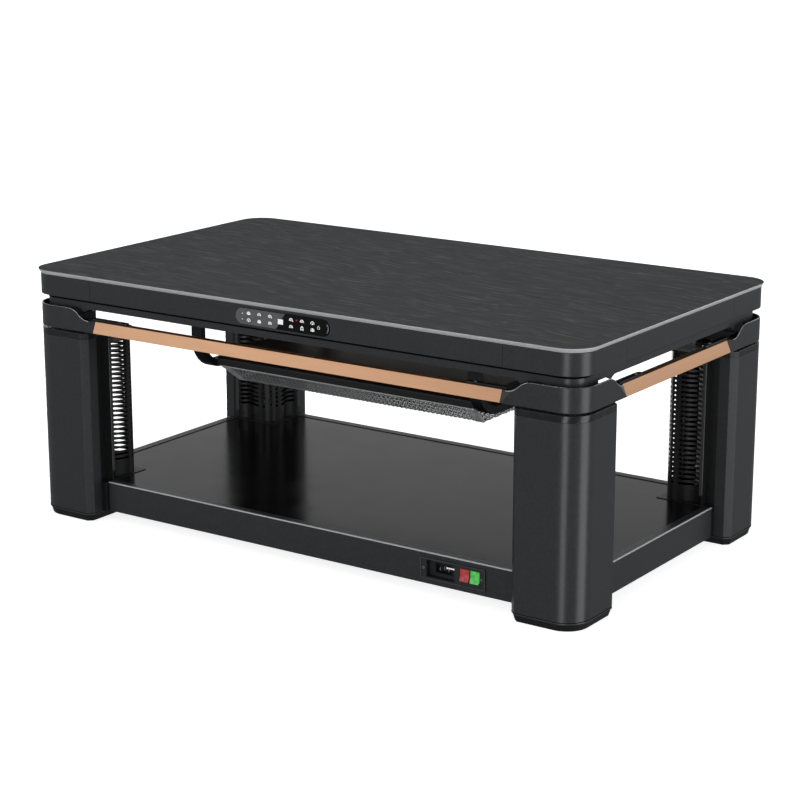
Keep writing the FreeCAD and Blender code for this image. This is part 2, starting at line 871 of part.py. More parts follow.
def rails():
    def bar(name, plane, half, face):
        """A tube whose outer face leans back, from collar to collar."""
        reach = f"({half} - collar_reach - seam_gap)"
        front, back = f"(-{face})", f"(-{face} + rail_depth)"
        outline = [
            (front, collar_bottom),
            (back, collar_bottom),
            (back, rail_top),
            (f"({front} + rail_lean)", rail_top),
        ]
        bore_front, bore_back = f"({front} + 2 * rail_wall)", f"({back} - rail_wall)"
        low, high = f"({collar_bottom} + rail_wall)", f"({rail_top} - rail_wall)"
        lean = "rail_lean * (rail_height - 2 * rail_wall) / rail_height"
        bore = [(bore_front, low), (bore_back, low), (bore_back, high), (f"({bore_front} + {lean})", high)]
        return solid(name, plane, (f"-{reach}", reach), outline, bore)

    pair("rails_long", bar("rail_front_bar", "YZ_Plane", half_length, half_width), 0, 1, 0)
    pair("rails_short", bar("rail_left_bar", "XZ_Plane", half_width, half_length), 1, 0, 0)

    start = "(collar_reach - tongue_lap)"
    near, far = "tongue_setback", "(tongue_setback + tongue_width)"
    tip = "(collar_reach - tongue_lap + tongue_length)"
    straight = f"({tip} - tongue_width / 2)"
    tongue = upright(
        "tongue",
        (rail_top, tongue_top),
        corner_loop((start, near), (straight, near), "ccw tongue_width / 2", (straight, far), (start, far)),
    )
    side = across_diagonal("tongue_side", tongue)
    tongues = four_copies("tongue_of_rail", tongue) + four_copies("tongue_of_end", side)
    named(group("rail_tongues", *tongues), "rail_tongues")
    place = from_corner(f"{tip} - tongue_screw_inset", "tongue_setback + tongue_width / 2")
    screw = cylinder("tongue_screw", "screw_head_radius", "screw_head_height", (*place, tongue_top))
    other = across_diagonal("tongue_screw_side", screw)
    screws = four_copies("screw_of_rail", screw) + four_copies("screw_of_end", other)
    named(group("rail_screws", *screws), "rail_screws")


def legs():
    inner_bend = f"({frame_radius} - leg_wall)"
    turned = f"leg_wall * {bevel}"
    shell_half = [
        (frame_radius, "0"),
        ("leg_size - leg_chamfer", "0"),
        ("leg_size", "leg_chamfer"),
        ("leg_size", "leg_chamfer + leg_lip"),
        ("leg_size - leg_wall", "leg_chamfer + leg_lip"),
        ("leg_size - leg_wall", f"leg_chamfer + {turned}"),
        (f"leg_size - leg_chamfer - {turned}", "leg_wall"),
        (frame_radius, "leg_wall"),
    ]
    shell = upright(
        "leg_shell",
        ("foot_height", cap_bottom),
        both_sides(shell_half, f"cw {inner_bend}", f"ccw {frame_radius}"),
    )
    four_nodes("leg_shell", shell)

    # the cap stands high over the outer walls and is a plate over the heater housing
    outer_half = [(frame_radius, "0"), ("leg_size - leg_chamfer", "0"), ("leg_size", "leg_chamfer")]
    rim_inside = "(leg_chamfer + leg_lip)"
    rim = upright(
        "leg_cap_rim",
        (cap_bottom, cap_top),
        both_sides(outer_half + [("leg_size", rim_inside)], (rim_inside, rim_inside), f"ccw {frame_radius}"),
    )
    plate_half = outer_half + [
        ("leg_size", "flange_start"),
        ("flange_tip", "flange_start"),
        ("flange_tip", "nose_level - nose_radius"),
    ]
    nose_bend = "ccw (nose_radius + flange_tip - nose_level)"
    plate = upright(
        "leg_cap_plate",
        (cap_bottom, f"{cap_bottom} + cap_plate"),
        both_sides(plate_half, nose_bend, f"ccw {frame_radius}"),
    )
    rim_round = rounded_edges("leg_cap_round", rim, "cap_edge_round", at_level(cap_top))
    cap_hole = upright(
        "leg_cap_hole",
        (f"{cap_bottom} - overrun", f"{cap_top} + overrun"),
        corner_square(f"{inner_start} - cap_clearance", f"{inner_end} + cap_clearance"),
    )
    four_in_one("leg_caps", cut("leg_cap", fuse("leg_cap_blank", rim_round, plate), cap_hole))

    def foot_outline(inset):
        half = [
            (frame_radius, inset),
            (f"leg_size - leg_chamfer - {inset} * {bevel}", inset),
            (f"leg_size - {inset}", f"leg_chamfer + {inset} * {bevel}"),
            (f"leg_size - {inset}", f"leg_size - leg_chamfer - {inset} * {bevel}"),
        ]
        return both_sides(half, "", f"ccw ({frame_radius} - {inset})")

    foot = lofted("leg_foot", ("0", foot_outline("foot_taper")), ("foot_height", foot_outline("0")))
    four_in_one("leg_feet", foot)


def grille_half(inset):
    """One side of the heater housing, up to the diagonal: flank, flange, waist and nose."""
    level = f"(leg_size - grille_recess - {inset})"
    tip = f"(flange_tip - {inset})"
    return [
        (level, "leg_chamfer + leg_lip"),
        (level, f"flange_start + {inset}"),
        (tip, f"flange_start + {inset}"),
        (tip, "flange_start + flange_edge"),
        "cw waist_radius",
        (f"waist_level - {inset}", "waist_place"),
        "ccw shoulder_radius",
        (f"nose_level - {inset}", "nose_level - nose_radius"),
    ]


def mirrored_steps(steps):
    return [step[::-1] if isinstance(step, tuple) else step for step in reversed(steps)]


def walked_back(steps):
    """The same line from its other end, where each arc turns the other way."""
    other = {"cw": "ccw", "ccw": "cw"}
    back = []
    for step in reversed(steps):
        if isinstance(step, str):
            turn, radius = step.split(" ", 1)
            step = f"{other[turn]} {radius}"
        back.append(step)
    return back


def grilles():
    outside, inside = grille_half("0"), grille_half("grille_wall")
    around = outside + ["ccw nose_radius"] + mirrored_steps(outside)
    lining = inside + ["ccw (nose_radius - grille_wall)"] + mirrored_steps(inside)
    blank = upright("grille_blank", (shelf_top, cap_bottom), corner_loop(*around, *walked_back(lining)))

    wall_low = "(nose_level - slot_wall_span)"
    wall_high = "(nose_level + overrun)"
    tools = []
    for row in range(slot_rows):
        level = f"(slot_bottom + {row} * slot_pitch)"
        slot = box(
            f"grille_slot_{row}",
            tuple(from_corner(place, "0")[0] for place in (wall_low, wall_high)),
            tuple(from_corner("0", place)[1] for place in ("slot_near", "slot_far")),
            (level, f"{level} + slot_height"),
        )
        tools.append(slot)
    rows = group("grille_slots", *tools)
    holes = []
    centre = "(nose_level - nose_radius)"
    for column_index, turn in enumerate(nose_hole_turns):
        angle = 45 + turn
        stagger = "slot_pitch / 2" if column_index % 2 else "0"
        for row in range(slot_rows - column_index % 2):
            level = f"(slot_bottom + {row} * slot_pitch + slot_height / 2 + {stagger})"
            start = "(nose_radius - nose_hole_span)"
            across, along = f"{start} * cos({angle} deg)", f"{start} * sin({angle} deg)"
            base = from_corner(f"{centre} + {across}", f"{centre} + {along}")
            name = f"nose_hole_{column_index}_{row}"
            length = "nose_hole_span + overrun"
            holes.append(cylinder(name, "nose_hole_radius", length, (*base, level), (1, 0, 0), str(angle)))
    one_side = cut("grille_one_side", blank, rows)
    two_sides = cut("grille_two_sides", one_side, across_diagonal("grille_slots_side", rows))
    four_nodes("leg_grille", cut("leg_grille", two_sides, group("nose_holes", *holes)))

    middle = from_corner("leg_heater_place", "leg_heater_place")
    top_end = f"({cap_bottom} - leg_heater_cap_length)"
    tube = fuse(
        "leg_heater",
        cylinder(
            "leg_heater_tube", "leg_heater_radius", f"{top_end} - slot_bottom", (*middle, "slot_bottom")
        ),
        cylinder("leg_heater_top", "leg_heater_cap_radius", "leg_heater_cap_length", (*middle, top_end)),
        cylinder(
            "leg_heater_foot",
            "leg_heater_cap_radius",
            "leg_heater_cap_length",
            (*middle, "slot_bottom - leg_heater_cap_length"),
        ),
    )
    four_in_one("leg_heaters", tube)


def control_panel():
    face = f"(-{half_width} - panel_proud)"
    wall_back = f"(-{half_width} + apron_wall)"
    back = f"({wall_back} + panel_flange_thickness)"
    outline = stadium("0", panel_middle, "panel_length", "panel_height")
    front = solid("panel_front", "XZ_Plane", (face, wall_back), outline)
    flange = solid(
        "panel_flange",
        "XZ_Plane",
        (wall_back, back),
        stadium("0", panel_middle, "panel_length + 2 * panel_flange", "panel_height + 2 * panel_flange"),
    )
    named(fuse("control_panel", front, flange), "control_panel")

    board_front = f"({back} + board_post_height)"
    board = box(
        "board",
        ("-board_length / 2", "board_length / 2"),
        (board_front, f"{board_front} + board_thickness"),
        (f"{panel_middle} - board_height / 2", f"{panel_middle} + board_height / 2"),
    )
    posts = []
    for side in (-1, 1):
        for level in (-1, 1):
            place = (
                f"{side} * (board_length / 2 - board_post_inset)",
                back,
                f"{panel_middle} + {level} * (board_height / 2 - board_post_inset)",
            )
            name = f"board_post_{len(posts)}"
            posts.append(cylinder(name, "board_post_radius", "board_post_height", place, (0, 1, 0)))
    named(fuse("control_board", board, *posts), "control_board")


def heater():
    arc_level = f"({hanger_bottom} + hanger_radius)"
    run = "(hanger_reach - hanger_radius)"
    inner_reach = "(hanger_reach - hanger_thickness)"
    outer_bend, inner_bend = "hanger_radius", "(hanger_radius - hanger_thickness)"
    strap = solid(
        "hanger",
        "YZ_Plane",
        ("-hanger_place - hanger_width / 2", "-hanger_place + hanger_width / 2"),
        [
            ("-hanger_reach", cross_bar_bottom),
            ("-hanger_reach", arc_level),
            f"ccw {outer_bend}",
            (f"-{run}", hanger_bottom),
            (run, hanger_bottom),
            f"ccw {outer_bend}",
            ("hanger_reach", arc_level),
            ("hanger_reach", cross_bar_bottom),
            (inner_reach, cross_bar_bottom),
            (inner_reach, arc_level),
            f"cw {inner_bend}",
            (run, hanger_bar_top),
            (f"-{run}", hanger_bar_top),
            f"cw {inner_bend}",
            (f"-{inner_reach}", arc_level),
            (f"-{inner_reach}", cross_bar_bottom),
        ],
    )
    named(strap, "heater_hanger_left")
    named(mirrored("hanger_right", strap, 1, 0, 0), "heater_hanger_right")

    lip_top = f"({heater_bottom} + heater_lip_height)"
    edge = "(heater_width / 2)"
    rim_inner = f"({edge} - heater_rim)"
    slope_inner = f"({edge} - heater_shoulder)"
    corner_in = f"({edge} - heater_lip_round)"
    corner_low = f"({lip_top} - heater_lip_round)"
    right_half = [
        (edge, heater_bottom),
        (edge, corner_low),
        "ccw heater_lip_round",
        (corner_in, lip_top),
        (rim_inner, lip_top),
        (slope_inner, heater_top),
    ]
    left_half = [
        (f"-{slope_inner}", heater_top),
        (f"-{rim_inner}", lip_top),
        (f"-{corner_in}", lip_top),
        "ccw heater_lip_round",
        (f"-{edge}", corner_low),
        (f"-{edge}", heater_bottom),
    ]
    half = "(heater_length / 2)"
    blank = solid("heater_blank", "YZ_Plane", (f"-{half}", half), right_half + left_half)
    low = f"({heater_bottom} - overrun)"
    shelf_level = f"({lip_top} - heater_roof)"
    hollow = [
        (rim_inner, low),
        (rim_inner, shelf_level),
        (slope_inner, heater_ceiling),
        (f"-{slope_inner}", heater_ceiling),
        (f"-{rim_inner}", shelf_level),
        (f"-{rim_inner}", low),
    ]
    cavity = solid("heater_cavity", "YZ_Plane", (f"-{half} + heater_rim", f"{half} - heater_rim"), hollow)
    tab = box(
        "heater_tab",
        ("-hanger_place - hanger_width / 2", f"-{half} + heater_rim"),
        ("-heater_tab_width / 2", "heater_tab_width / 2"),
        (hanger_bar_top, f"{hanger_bar_top} + heater_tab_thickness"),
    )
    shell = cut("heater_shell", blank, cavity)
    named(fuse("heater_housing", shell, tab, mirrored("heater_tab_right", tab, 1, 0, 0)), "heater_housing")

    sheet_bottom = f"({heater_ceiling} - reflector_sheet)"
    reflector = box(
        "reflector",
        (f"-{half} + heater_rim", f"{half} - heater_rim"),
        (f"-{slope_inner}", slope_inner),
        (sheet_bottom, heater_ceiling),
    )
    named(reflector, "heater_reflector")

    tube_level = f"({sheet_bottom} - holder_drop / 2)"
    tube_end = "(heater_tube_length / 2)"
    tubes, bores = [], []
    for index in (-1, 0, 1):
        place = f"{index} * heater_tube_spread"
        name = f"heater_tube_{index + 2}"
        end = (f"-{tube_end}", place, tube_level)
        tubes.append(cylinder(name, "heater_tube_radius", "heater_tube_length", end, (1, 0, 0)))
        bores.append(
            cylinder(
                name + "_bore",
                "heater_tube_radius + heater_tube_clearance",
                "heater_tube_length + 2 * overrun",
                (f"-{tube_end} - overrun", place, tube_level),
                (1, 0, 0),
            )
        )
    named(group("heater_tubes", *tubes), "heater_tubes")
    spread = "(heater_tube_spread + holder_overhang)"
    holder = cut(
        "holder",
        box(
            "holder_blank",
            (f"-{tube_end}", f"-{tube_end} + holder_thickness"),
            (f"-{spread}", spread),
            (f"{sheet_bottom} - holder_drop", sheet_bottom),
        ),
        group("holder_bores", *bores),
    )
    pair("heater_tube_holders", holder, 1, 0, 0)


def guard():
    half_x, half_y = "(heater_length / 2 - guard_margin)", "(heater_width / 2 - guard_margin)"
    low_x, low_y = f"({half_x} - guard_end_slope)", f"({half_y} - guard_slope)"

    def outline(x, y, inset):
        x_in, y_in = f"({x} - {inset})", f"({y} - {inset})"
        return rectangle(f"-{x_in}", x_in, f"-{y_in}", y_in)

    wall = "(2 * guard_sheet)"
    outer = lofted(
        "guard_outer",
        (guard_bottom, outline(low_x, low_y, "0")),
        (heater_bottom, outline(half_x, half_y, "0")),
    )
    inner = lofted(
        "guard_inner",
        (f"{guard_bottom} + guard_sheet", outline(low_x, low_y, wall)),
        (heater_bottom, outline(half_x, half_y, wall)),
    )
    run = f"(2 * ({low_x} - guard_border) + guard_bar)"
    pitch = f"({run} / {guard_windows})"
    floor_reach = f"({low_y} - guard_border)"
    floor_tools, side_tools = [], []
    for index in range(guard_windows):
        left = f"(-{run} / 2 + guard_bar / 2 + {index} * {pitch})"
        across = (left, f"{left} + {pitch} - guard_bar")
        floor_tools.append(
            box(
                f"guard_floor_window_{index}",
                across,
                (f"-{floor_reach}", floor_reach),
                (f"{guard_bottom} - overrun", f"{guard_bottom} + guard_sheet + overrun"),
            )
        )
        side_tools.append(
            box(
                f"guard_side_window_{index}",
                across,
                (f"-{half_y} - overrun", f"{half_y} + overrun"),
                (f"{guard_bottom} + guard_border", f"{heater_bottom} - guard_brim"),
            )
        )
    basket = cut("guard_basket", outer, inner)
    basket = cut("guard_floor_open", basket, group("guard_floor_windows", *floor_tools))
    basket = cut("guard_side_open", basket, group("guard_side_windows", *side_tools))
    stringers = []
    for index in range(guard_stringers):
        place = f"(-{floor_reach} + {index + 1} * 2 * {floor_reach} / {guard_stringers + 1})"
        stringers.append(
            box(
                f"guard_stringer_{index}",
                (f"-{run} / 2", f"{run} / 2"),
                (f"{place} - guard_bar / 2", f"{place} + guard_bar / 2"),
                (guard_bottom, f"{guard_bottom} + guard_sheet"),
            )
        )
    named(fuse("heater_guard", basket, *stringers), "heater_guard")


def shelf():
    span = ("foot_height", shelf_top)
    inner = "(shelf_width / 2 - shelf_rim)"
    inner_x = "(shelf_length / 2 - shelf_rim)"
    ledge = (f"{panel_bottom} - shelf_ledge_thickness", panel_bottom)

    def tube(name, plane, reach, face):
        """A hollow rail with a ledge for the shelf panel along its inner side."""
        outline = [
            (f"-{face}", span[0]),
            (f"-({face} - shelf_rim)", span[0]),
            (f"-({face} - shelf_rim)", span[1]),
            (f"-({face} - shelf_edge_round)", span[1]),
            "ccw shelf_edge_round",
            (f"-{face}", f"{span[1]} - shelf_edge_round"),
        ]
        hollow = rectangle(
            f"-({face} - shelf_wall)",
            f"-({face} - shelf_rim + shelf_wall)",
            f"{span[0]} + shelf_wall",
            f"{span[1]} - shelf_wall",
        )
        bar = solid(name + "_bar", plane, (f"-{reach}", reach), outline, hollow)
        step = solid(
            name + "_ledge",
            plane,
            (f"-{reach}", reach),
            rectangle(f"-({face} - shelf_rim)", f"-({face} - shelf_rim - shelf_ledge_width)", *ledge),
        )
        return fuse(name + "_rail", bar, step)

    front = tube("shelf_front", "YZ_Plane", notch_x, shelf_face)
    named(mirrored("shelf_back", front, 0, 1, 0), "shelf_back")
    opening = box(
        "switch_opening",
        (
            "switch_place - switch_length / 2 + switch_window_end",
            "switch_place + switch_length / 2 - switch_window_end",
        ),
        ("-shelf_width / 2 - overrun", f"-{inner} + overrun"),
        (
            "switch_level - switch_height / 2 + switch_window_margin",
            "switch_level + switch_height / 2 - switch_window_margin",
        ),
    )
    named(cut("shelf_front", front, opening), "shelf_front")
    side = tube("shelf_side", "XZ_Plane", notch_y, "(shelf_length / 2)")
    pair("shelf_sides", side, 1, 0, 0)

    def plan(gap):
        x, y = f"({inner_x} - {gap})", f"({inner} - {gap})"
        near_x, near_y = f"({notch_x} - {gap})", f"({notch_y} - {gap})"
        return [
            (f"-{near_x}", f"-{y}"), (near_x, f"-{y}"), (near_x, f"-{near_y}"), (x, f"-{near_y}"),
            (x, near_y), (near_x, near_y), (near_x, y), (f"-{near_x}", y),
            (f"-{near_x}", near_y), (f"-{x}", near_y), (f"-{x}", f"-{near_y}"), (f"-{near_x}", f"-{near_y}"),
        ]

    named(upright("shelf_panel", (panel_bottom, panel_top), plan("shelf_panel_gap")), "shelf_panel")
    named(upright("shelf_cover", ("foot_height", cover_top), plan("0")), "shelf_bottom_cover")

    lip = "(leg_chamfer + leg_lip)"
    near = "(shelf_corner - bracket_width)"
    wall = "bracket_wall"
    half = [(near, lip), ("shelf_corner", lip)]
    outer = corner_loop(*half, ("shelf_corner", "shelf_corner"), *mirrored_steps(half), (near, near))
    hollow_half = [(f"{near} + {wall}", f"{lip} + {wall}"), (f"shelf_corner - {wall}", f"{lip} + {wall}")]
    hollow_corner = f"shelf_corner - {wall}"
    hollow_near = f"{near} + {wall}"
    hollow = corner_loop(
        *hollow_half, (hollow_corner, hollow_corner), *mirrored_steps(hollow_half), (hollow_near, hollow_near)
    )
    bracket = cut(
        "bracket",
        upright("bracket_blank", span, outer),
        upright("bracket_hollow", (f"foot_height + {wall}", f"{shelf_top} - {wall}"), hollow),
    )
    four_in_one("shelf_brackets", bracket)


def rocker_places():
    return {
        "red": "(switch_place + rocker_place - rocker_spacing / 2)",
        "green": "(switch_place + rocker_place + rocker_spacing / 2)",
    }


def switches():
    face = f"(-{shelf_face} - switch_thickness)"
    back = f"-{shelf_face}"
    left, right = "switch_place - switch_length / 2", "switch_place + switch_length / 2"
    low, high = "switch_level - switch_height / 2", "switch_level + switch_height / 2"
    plate = box("switch_plate_blank", (left, right), (face, back), (low, high))
    recess_across = (f"{recess_middle} - recess_length / 2", f"{recess_middle} + recess_length / 2")
    recess_up = ("switch_level - recess_height / 2", "switch_level + recess_height / 2")
    recess_back = f"({face} + recess_depth)"
    tray_back = f"({recess_back} + recess_wall)"
    tray = box(
        "recess_tray",
        (f"{recess_across[0]} - recess_wall", f"{recess_across[1]} + recess_wall"),
        (back, tray_back),
        (f"{recess_up[0]} - recess_wall", f"{recess_up[1]} + recess_wall"),
    )
    recess = box("recess_hollow", recess_across, (f"{face} - overrun", recess_back), recess_up)
    frames, openings = [], []
    for name, place in rocker_places().items():
        half = "(rocker_width / 2 + rocker_side_gap)"
        rise = "(rocker_height / 2 + rocker_gap)"
        wall = "rocker_frame_wall"
        frames.append(
            box(
                f"rocker_frame_{name}",
                (f"{place} - {half} - {wall}", f"{place} + {half} + {wall}"),
                (back, f"{face} + rocker_frame_depth"),
                (f"{rocker_level} - {rise} - {wall}", f"{rocker_level} + {rise} + {wall}"),
            )
        )
        openings.append(
            box(
                f"rocker_opening_{name}",
                (f"{place} - {half}", f"{place} + {half}"),
                (f"{face} - overrun", f"{face} + rocker_frame_depth + overrun"),
                (f"{rocker_level} - {rise}", f"{rocker_level} + {rise}"),
            )
        )
    inlet_hole = box(
        "inlet_hole",
        (f"{recess_middle} - inlet_length / 2", f"{recess_middle} + inlet_length / 2"),
        (f"{recess_back} - overrun", f"{tray_back} + overrun"),
        ("switch_level - inlet_height / 2", "switch_level + inlet_height / 2"),
    )
    moulding = fuse("switch_moulding", plate, tray, *frames)
    named(cut("switch_plate", moulding, recess, inlet_hole, *openings), "switch_plate")

    inlet_across = (f"{recess_middle} - inlet_length / 2", f"{recess_middle} + inlet_length / 2")
    inlet_up = ("switch_level - inlet_height / 2", "switch_level + inlet_height / 2")
    inlet_back = f"({recess_back} + inlet_depth)"
    shell = box("inlet_shell", inlet_across, (recess_back, inlet_back), inlet_up)
    hollow = box(
        "inlet_hollow",
        (f"{inlet_across[0]} + inlet_wall", f"{inlet_across[1]} - inlet_wall"),
        (f"{recess_back} - overrun", f"{inlet_back} - inlet_wall"),
        (f"{inlet_up[0]} + inlet_wall", f"{inlet_up[1]} - inlet_wall"),
    )
    pins = []
    for across, rise_share in zip((-1, 0, 1), pin_rise_shares):
        middle = f"({recess_middle} + {across} * pin_spread)"
        level = f"(switch_level + {rise_share} * pin_height)"
        pins.append(
            box(
                f"inlet_pin_{across + 2}",
                (f"{middle} - pin_width / 2", f"{middle} + pin_width / 2"),
                (f"{inlet_back} - pin_length", f"{inlet_back} - inlet_wall"),
                (f"{level} - pin_height / 2", f"{level} + pin_height / 2"),
            )
        )
    named(fuse("power_inlet", cut("inlet_socket", shell, hollow), *pins), "power_inlet")

    screws = []
    for side in (-1, 1):
        place = (
            f"switch_place + {side} * (switch_length / 2 - plate_screw_margin)",
            f"{face} - plate_screw_height",
            "switch_level",
        )
        name = f"plate_screw_{len(screws)}"
        screws.append(cylinder(name, "plate_screw_radius", "plate_screw_height", place, (0, 1, 0)))
    named(group("switch_plate_screws", *screws), "switch_plate_screws")

    box_front = f"(-{shelf_face} + power_box_setback)"
    power = box(
        "power_box_case",
        ("switch_place - power_box_length / 2", "switch_place + power_box_length / 2"),
        (box_front, f"{box_front} + power_box_depth"),
        (cover_top, f"{cover_top} + power_box_height"),
    )
    named(power, "power_box")


def rockers():
    """Each rocker is drawn about its own pivot, then set in its frame, pressed in at the top."""
    half = "(rocker_height / 2)"
    front = "(-rocker_axis_depth - rocker_lift)"
    valley = "(-rocker_axis_depth - rocker_lift + rocker_dish)"
    back = "(rocker_depth - rocker_axis_depth - rocker_lift)"
    low_half = f"({half} * {rocker_back_share})"
    loop = [(front, f"-{half}"), (back, f"-{low_half}"), (back, low_half), (front, half), (valley, "0")]
    for name, place in rocker_places().items():
        width = ("-rocker_width / 2", "rocker_width / 2")
        rocker = solid(f"rocker_{name}", "YZ_Plane", width, loop)
        rocker.setExpression("Placement.Base.x", linked(place))
        pivot = f"-{shelf_face} - switch_thickness + rocker_axis_depth"
        rocker.setExpression("Placement.Base.y", linked(pivot))
        rocker.setExpression("Placement.Base.z", linked(rocker_level))
        rocker.Placement.Rotation = FreeCAD.Rotation(vector(1, 0, 0), -number("rocker_tilt"))
        named(rocker, f"rocker_{name}")


for make in (top, apron, underframe, column, collars, rails, legs, grilles, control_panel,
             heater, guard, shelf, switches, rockers):
    make()

doc.recompute()

nodes = """
top_plate top_board top_edge_trim
apron_front apron_back apron_left apron_right apron_corners
underframe_rails underframe_corners cross_bars
collar_front_left collar_front_right collar_back_left collar_back_right
rails_long rails_short rail_tongues rail_screws
control_panel control_board
heater_hanger_left heater_hanger_right heater_housing heater_guard
heater_tubes heater_tube_holders heater_reflector
inner_columns spindle_nuts outer_columns lift_motors
spindle_front_left spindle_front_right spindle_back_left spindle_back_right
leg_shell_front_left leg_shell_front_right leg_shell_back_left leg_shell_back_right
leg_grille_front_left leg_grille_front_right leg_grille_back_left leg_grille_back_right
leg_caps leg_feet leg_heaters
shelf_front shelf_back shelf_sides shelf_panel shelf_bottom_cover shelf_brackets
switch_plate switch_plate_screws power_inlet power_box rocker_red rocker_green
""".split()

failed = [piece.Name for piece in doc.Objects if {"Invalid", "Error"} & set(piece.State)]
if failed:
    raise RuntimeError(f"these objects failed: {failed}")
os.makedirs("parts", exist_ok=True)
found = {piece.Label: piece for piece in doc.Objects}
for node in nodes:
    shape = found[node].Shape
    if shape.isNull() or not shape.isValid() or not shape.Solids:
        raise RuntimeError(f"{node} has no valid solid")
for node in nodes:
    found[node].Shape.exportStep(f"parts/{node}.step")
    print(node, len(found[node].Shape.Solids), "solids", round(found[node].Shape.Volume / 1000), "cm3")
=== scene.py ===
import bpy
import bmesh
import math
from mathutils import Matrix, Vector


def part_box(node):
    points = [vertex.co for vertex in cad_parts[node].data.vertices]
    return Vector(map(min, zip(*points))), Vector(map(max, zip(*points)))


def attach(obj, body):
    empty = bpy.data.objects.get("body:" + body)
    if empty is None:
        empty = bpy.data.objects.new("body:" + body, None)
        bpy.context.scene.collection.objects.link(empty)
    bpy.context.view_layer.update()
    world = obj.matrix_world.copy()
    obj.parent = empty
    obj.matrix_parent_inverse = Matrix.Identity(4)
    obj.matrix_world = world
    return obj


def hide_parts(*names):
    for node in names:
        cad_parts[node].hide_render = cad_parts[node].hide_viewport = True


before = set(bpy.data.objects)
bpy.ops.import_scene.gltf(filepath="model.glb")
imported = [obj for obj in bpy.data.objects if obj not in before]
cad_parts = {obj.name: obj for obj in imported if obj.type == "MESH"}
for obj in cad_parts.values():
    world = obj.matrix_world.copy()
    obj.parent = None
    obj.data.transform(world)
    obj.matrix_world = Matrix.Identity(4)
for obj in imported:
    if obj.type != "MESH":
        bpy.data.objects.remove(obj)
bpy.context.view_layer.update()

# Heating table with a stone top that lifts, in a plain pale studio.
# Lengths are metres in the frame's own axes: the control panel faces -Y.

bpy.context.scene.view_settings.view_transform = "Standard"

# Where the photograph was taken from, worked out from the table's corners.
shot = {
    "place": (2.554, -3.683, 1.445),
    "tilt": 75.33,                     # degrees up from looking straight down
    "turn": 34.61,                     # degrees to the left of +Y
    "lens": 96.4,                      # mm on a 36 mm sensor
    "farthest": 80,
}


def placeCamera():
    lens = bpy.data.cameras.new("camera")
    lens.sensor_width = 36
    lens.lens = shot["lens"]
    lens.clip_end = shot["farthest"]
    camera = bpy.data.objects.new("camera", lens)
    camera.location = shot["place"]
    camera.rotation_euler = (math.radians(shot["tilt"]), 0, math.radians(shot["turn"]))
    bpy.context.scene.collection.objects.link(camera)
    bpy.context.scene.camera = camera
    print("camera placed")


placeCamera()


def linear(hexColour):
    channels = [int(hexColour[place:place + 2], 16) / 255 for place in (1, 3, 5)]
    return [c / 12.92 if c <= 0.04045 else ((c + 0.055) / 1.055) ** 2.4 for c in channels] + [1]


# A socket goes by its name, or by its number where several share a name, as in a Mix node.
def addNode(tree, kind, links=None, stops=None, **settings):
    made = tree.nodes.new(kind)
    for name, value in settings.items():
        setattr(made, name, value)
    for socket, value in (links or {}).items():
        if isinstance(value, bpy.types.NodeSocket):
            tree.links.new(value, made.inputs[socket])
        else:
            made.inputs[socket].default_value = value
    for place, (position, colour) in enumerate(stops or []):
        ramp = made.color_ramp.elements
        if place == len(ramp):
            ramp.new(position)
        ramp[place].position = position
        ramp[place].color = linear(colour)
    return made


def newMaterial(name, constants):
    made = bpy.data.materials.new(name)
    made.use_nodes = True
    tree = made.node_tree
    tree.nodes.clear()
    shader = addNode(tree, "ShaderNodeBsdfPrincipled", constants)
    addNode(tree, "ShaderNodeOutputMaterial", {"Surface": shader.outputs["BSDF"]})
    return made, tree, shader


def perSize(millimetres, stretch=(1, 1, 1)):
    return [1000 / millimetres / along for along in stretch]


# Where most values of a noise lie.
noiseBand = (0.35, 0.65)


# Most finishes below have one noise of a real size that moves colour, roughness and relief together.
def grained(made, look):
    material, tree, shader = made
    low, high = noiseBand
    where = addNode(tree, "ShaderNodeTexCoord").outputs["Object"]
    scale = perSize(look["grain"], look.get("stretch", (1, 1, 1)))
    place = addNode(tree, "ShaderNodeMapping", {"Vector": where, "Scale": scale}).outputs["Vector"]
    noise = addNode(tree, "ShaderNodeTexNoise", {
        "Vector": place, "Scale": 1, "Detail": look.get("detail", 3),
    }).outputs["Fac"]
    ramp = addNode(tree, "ShaderNodeValToRGB", {"Fac": noise}, [
        (low, look["dark"]), (high, look["light"]),
    ])
    tree.links.new(ramp.outputs["Color"], shader.inputs["Base Color"])
    rough = addNode(tree, "ShaderNodeMapRange", {
        "Value": noise, "From Min": low, "From Max": high,
        "To Min": look["smooth"], "To Max": look["rough"],
    })
    tree.links.new(rough.outputs["Result"], shader.inputs["Roughness"])
    bump = addNode(tree, "ShaderNodeBump", {
        "Height": noise, "Distance": look["relief"] / 1000, "Strength": 0.4,
    })
    tree.links.new(bump.outputs["Normal"], shader.inputs["Normal"])
    return material


# Sintered stone, pressed and honed: dark grey and dull, with fine wavy veins along the table.
stoneLook = {
    "vein": 8,             # mm across a vein; real ones are 2 to 5 mm, too fine to show
    "length": 12,          # times as long as wide
    "lean": 6,             # degrees off the table's length
    "sway": 200,           # mm from one bend of a vein to the next
    "bend": 0.06,          # share of that sway in a vein's course
    "veinRelief": 0.6,     # mm
    "gritRelief": 0.2,     # mm
    "grit": 2,             # mm; real grit is about 0.3 mm, too fine to show
    "dark": "#313233",
    "middle": "#38393a",
    "light": "#535455",
    "edge": "#c3c5c8",     # the ground edge
    "edgeTilt": (0.7, 0.9),
}


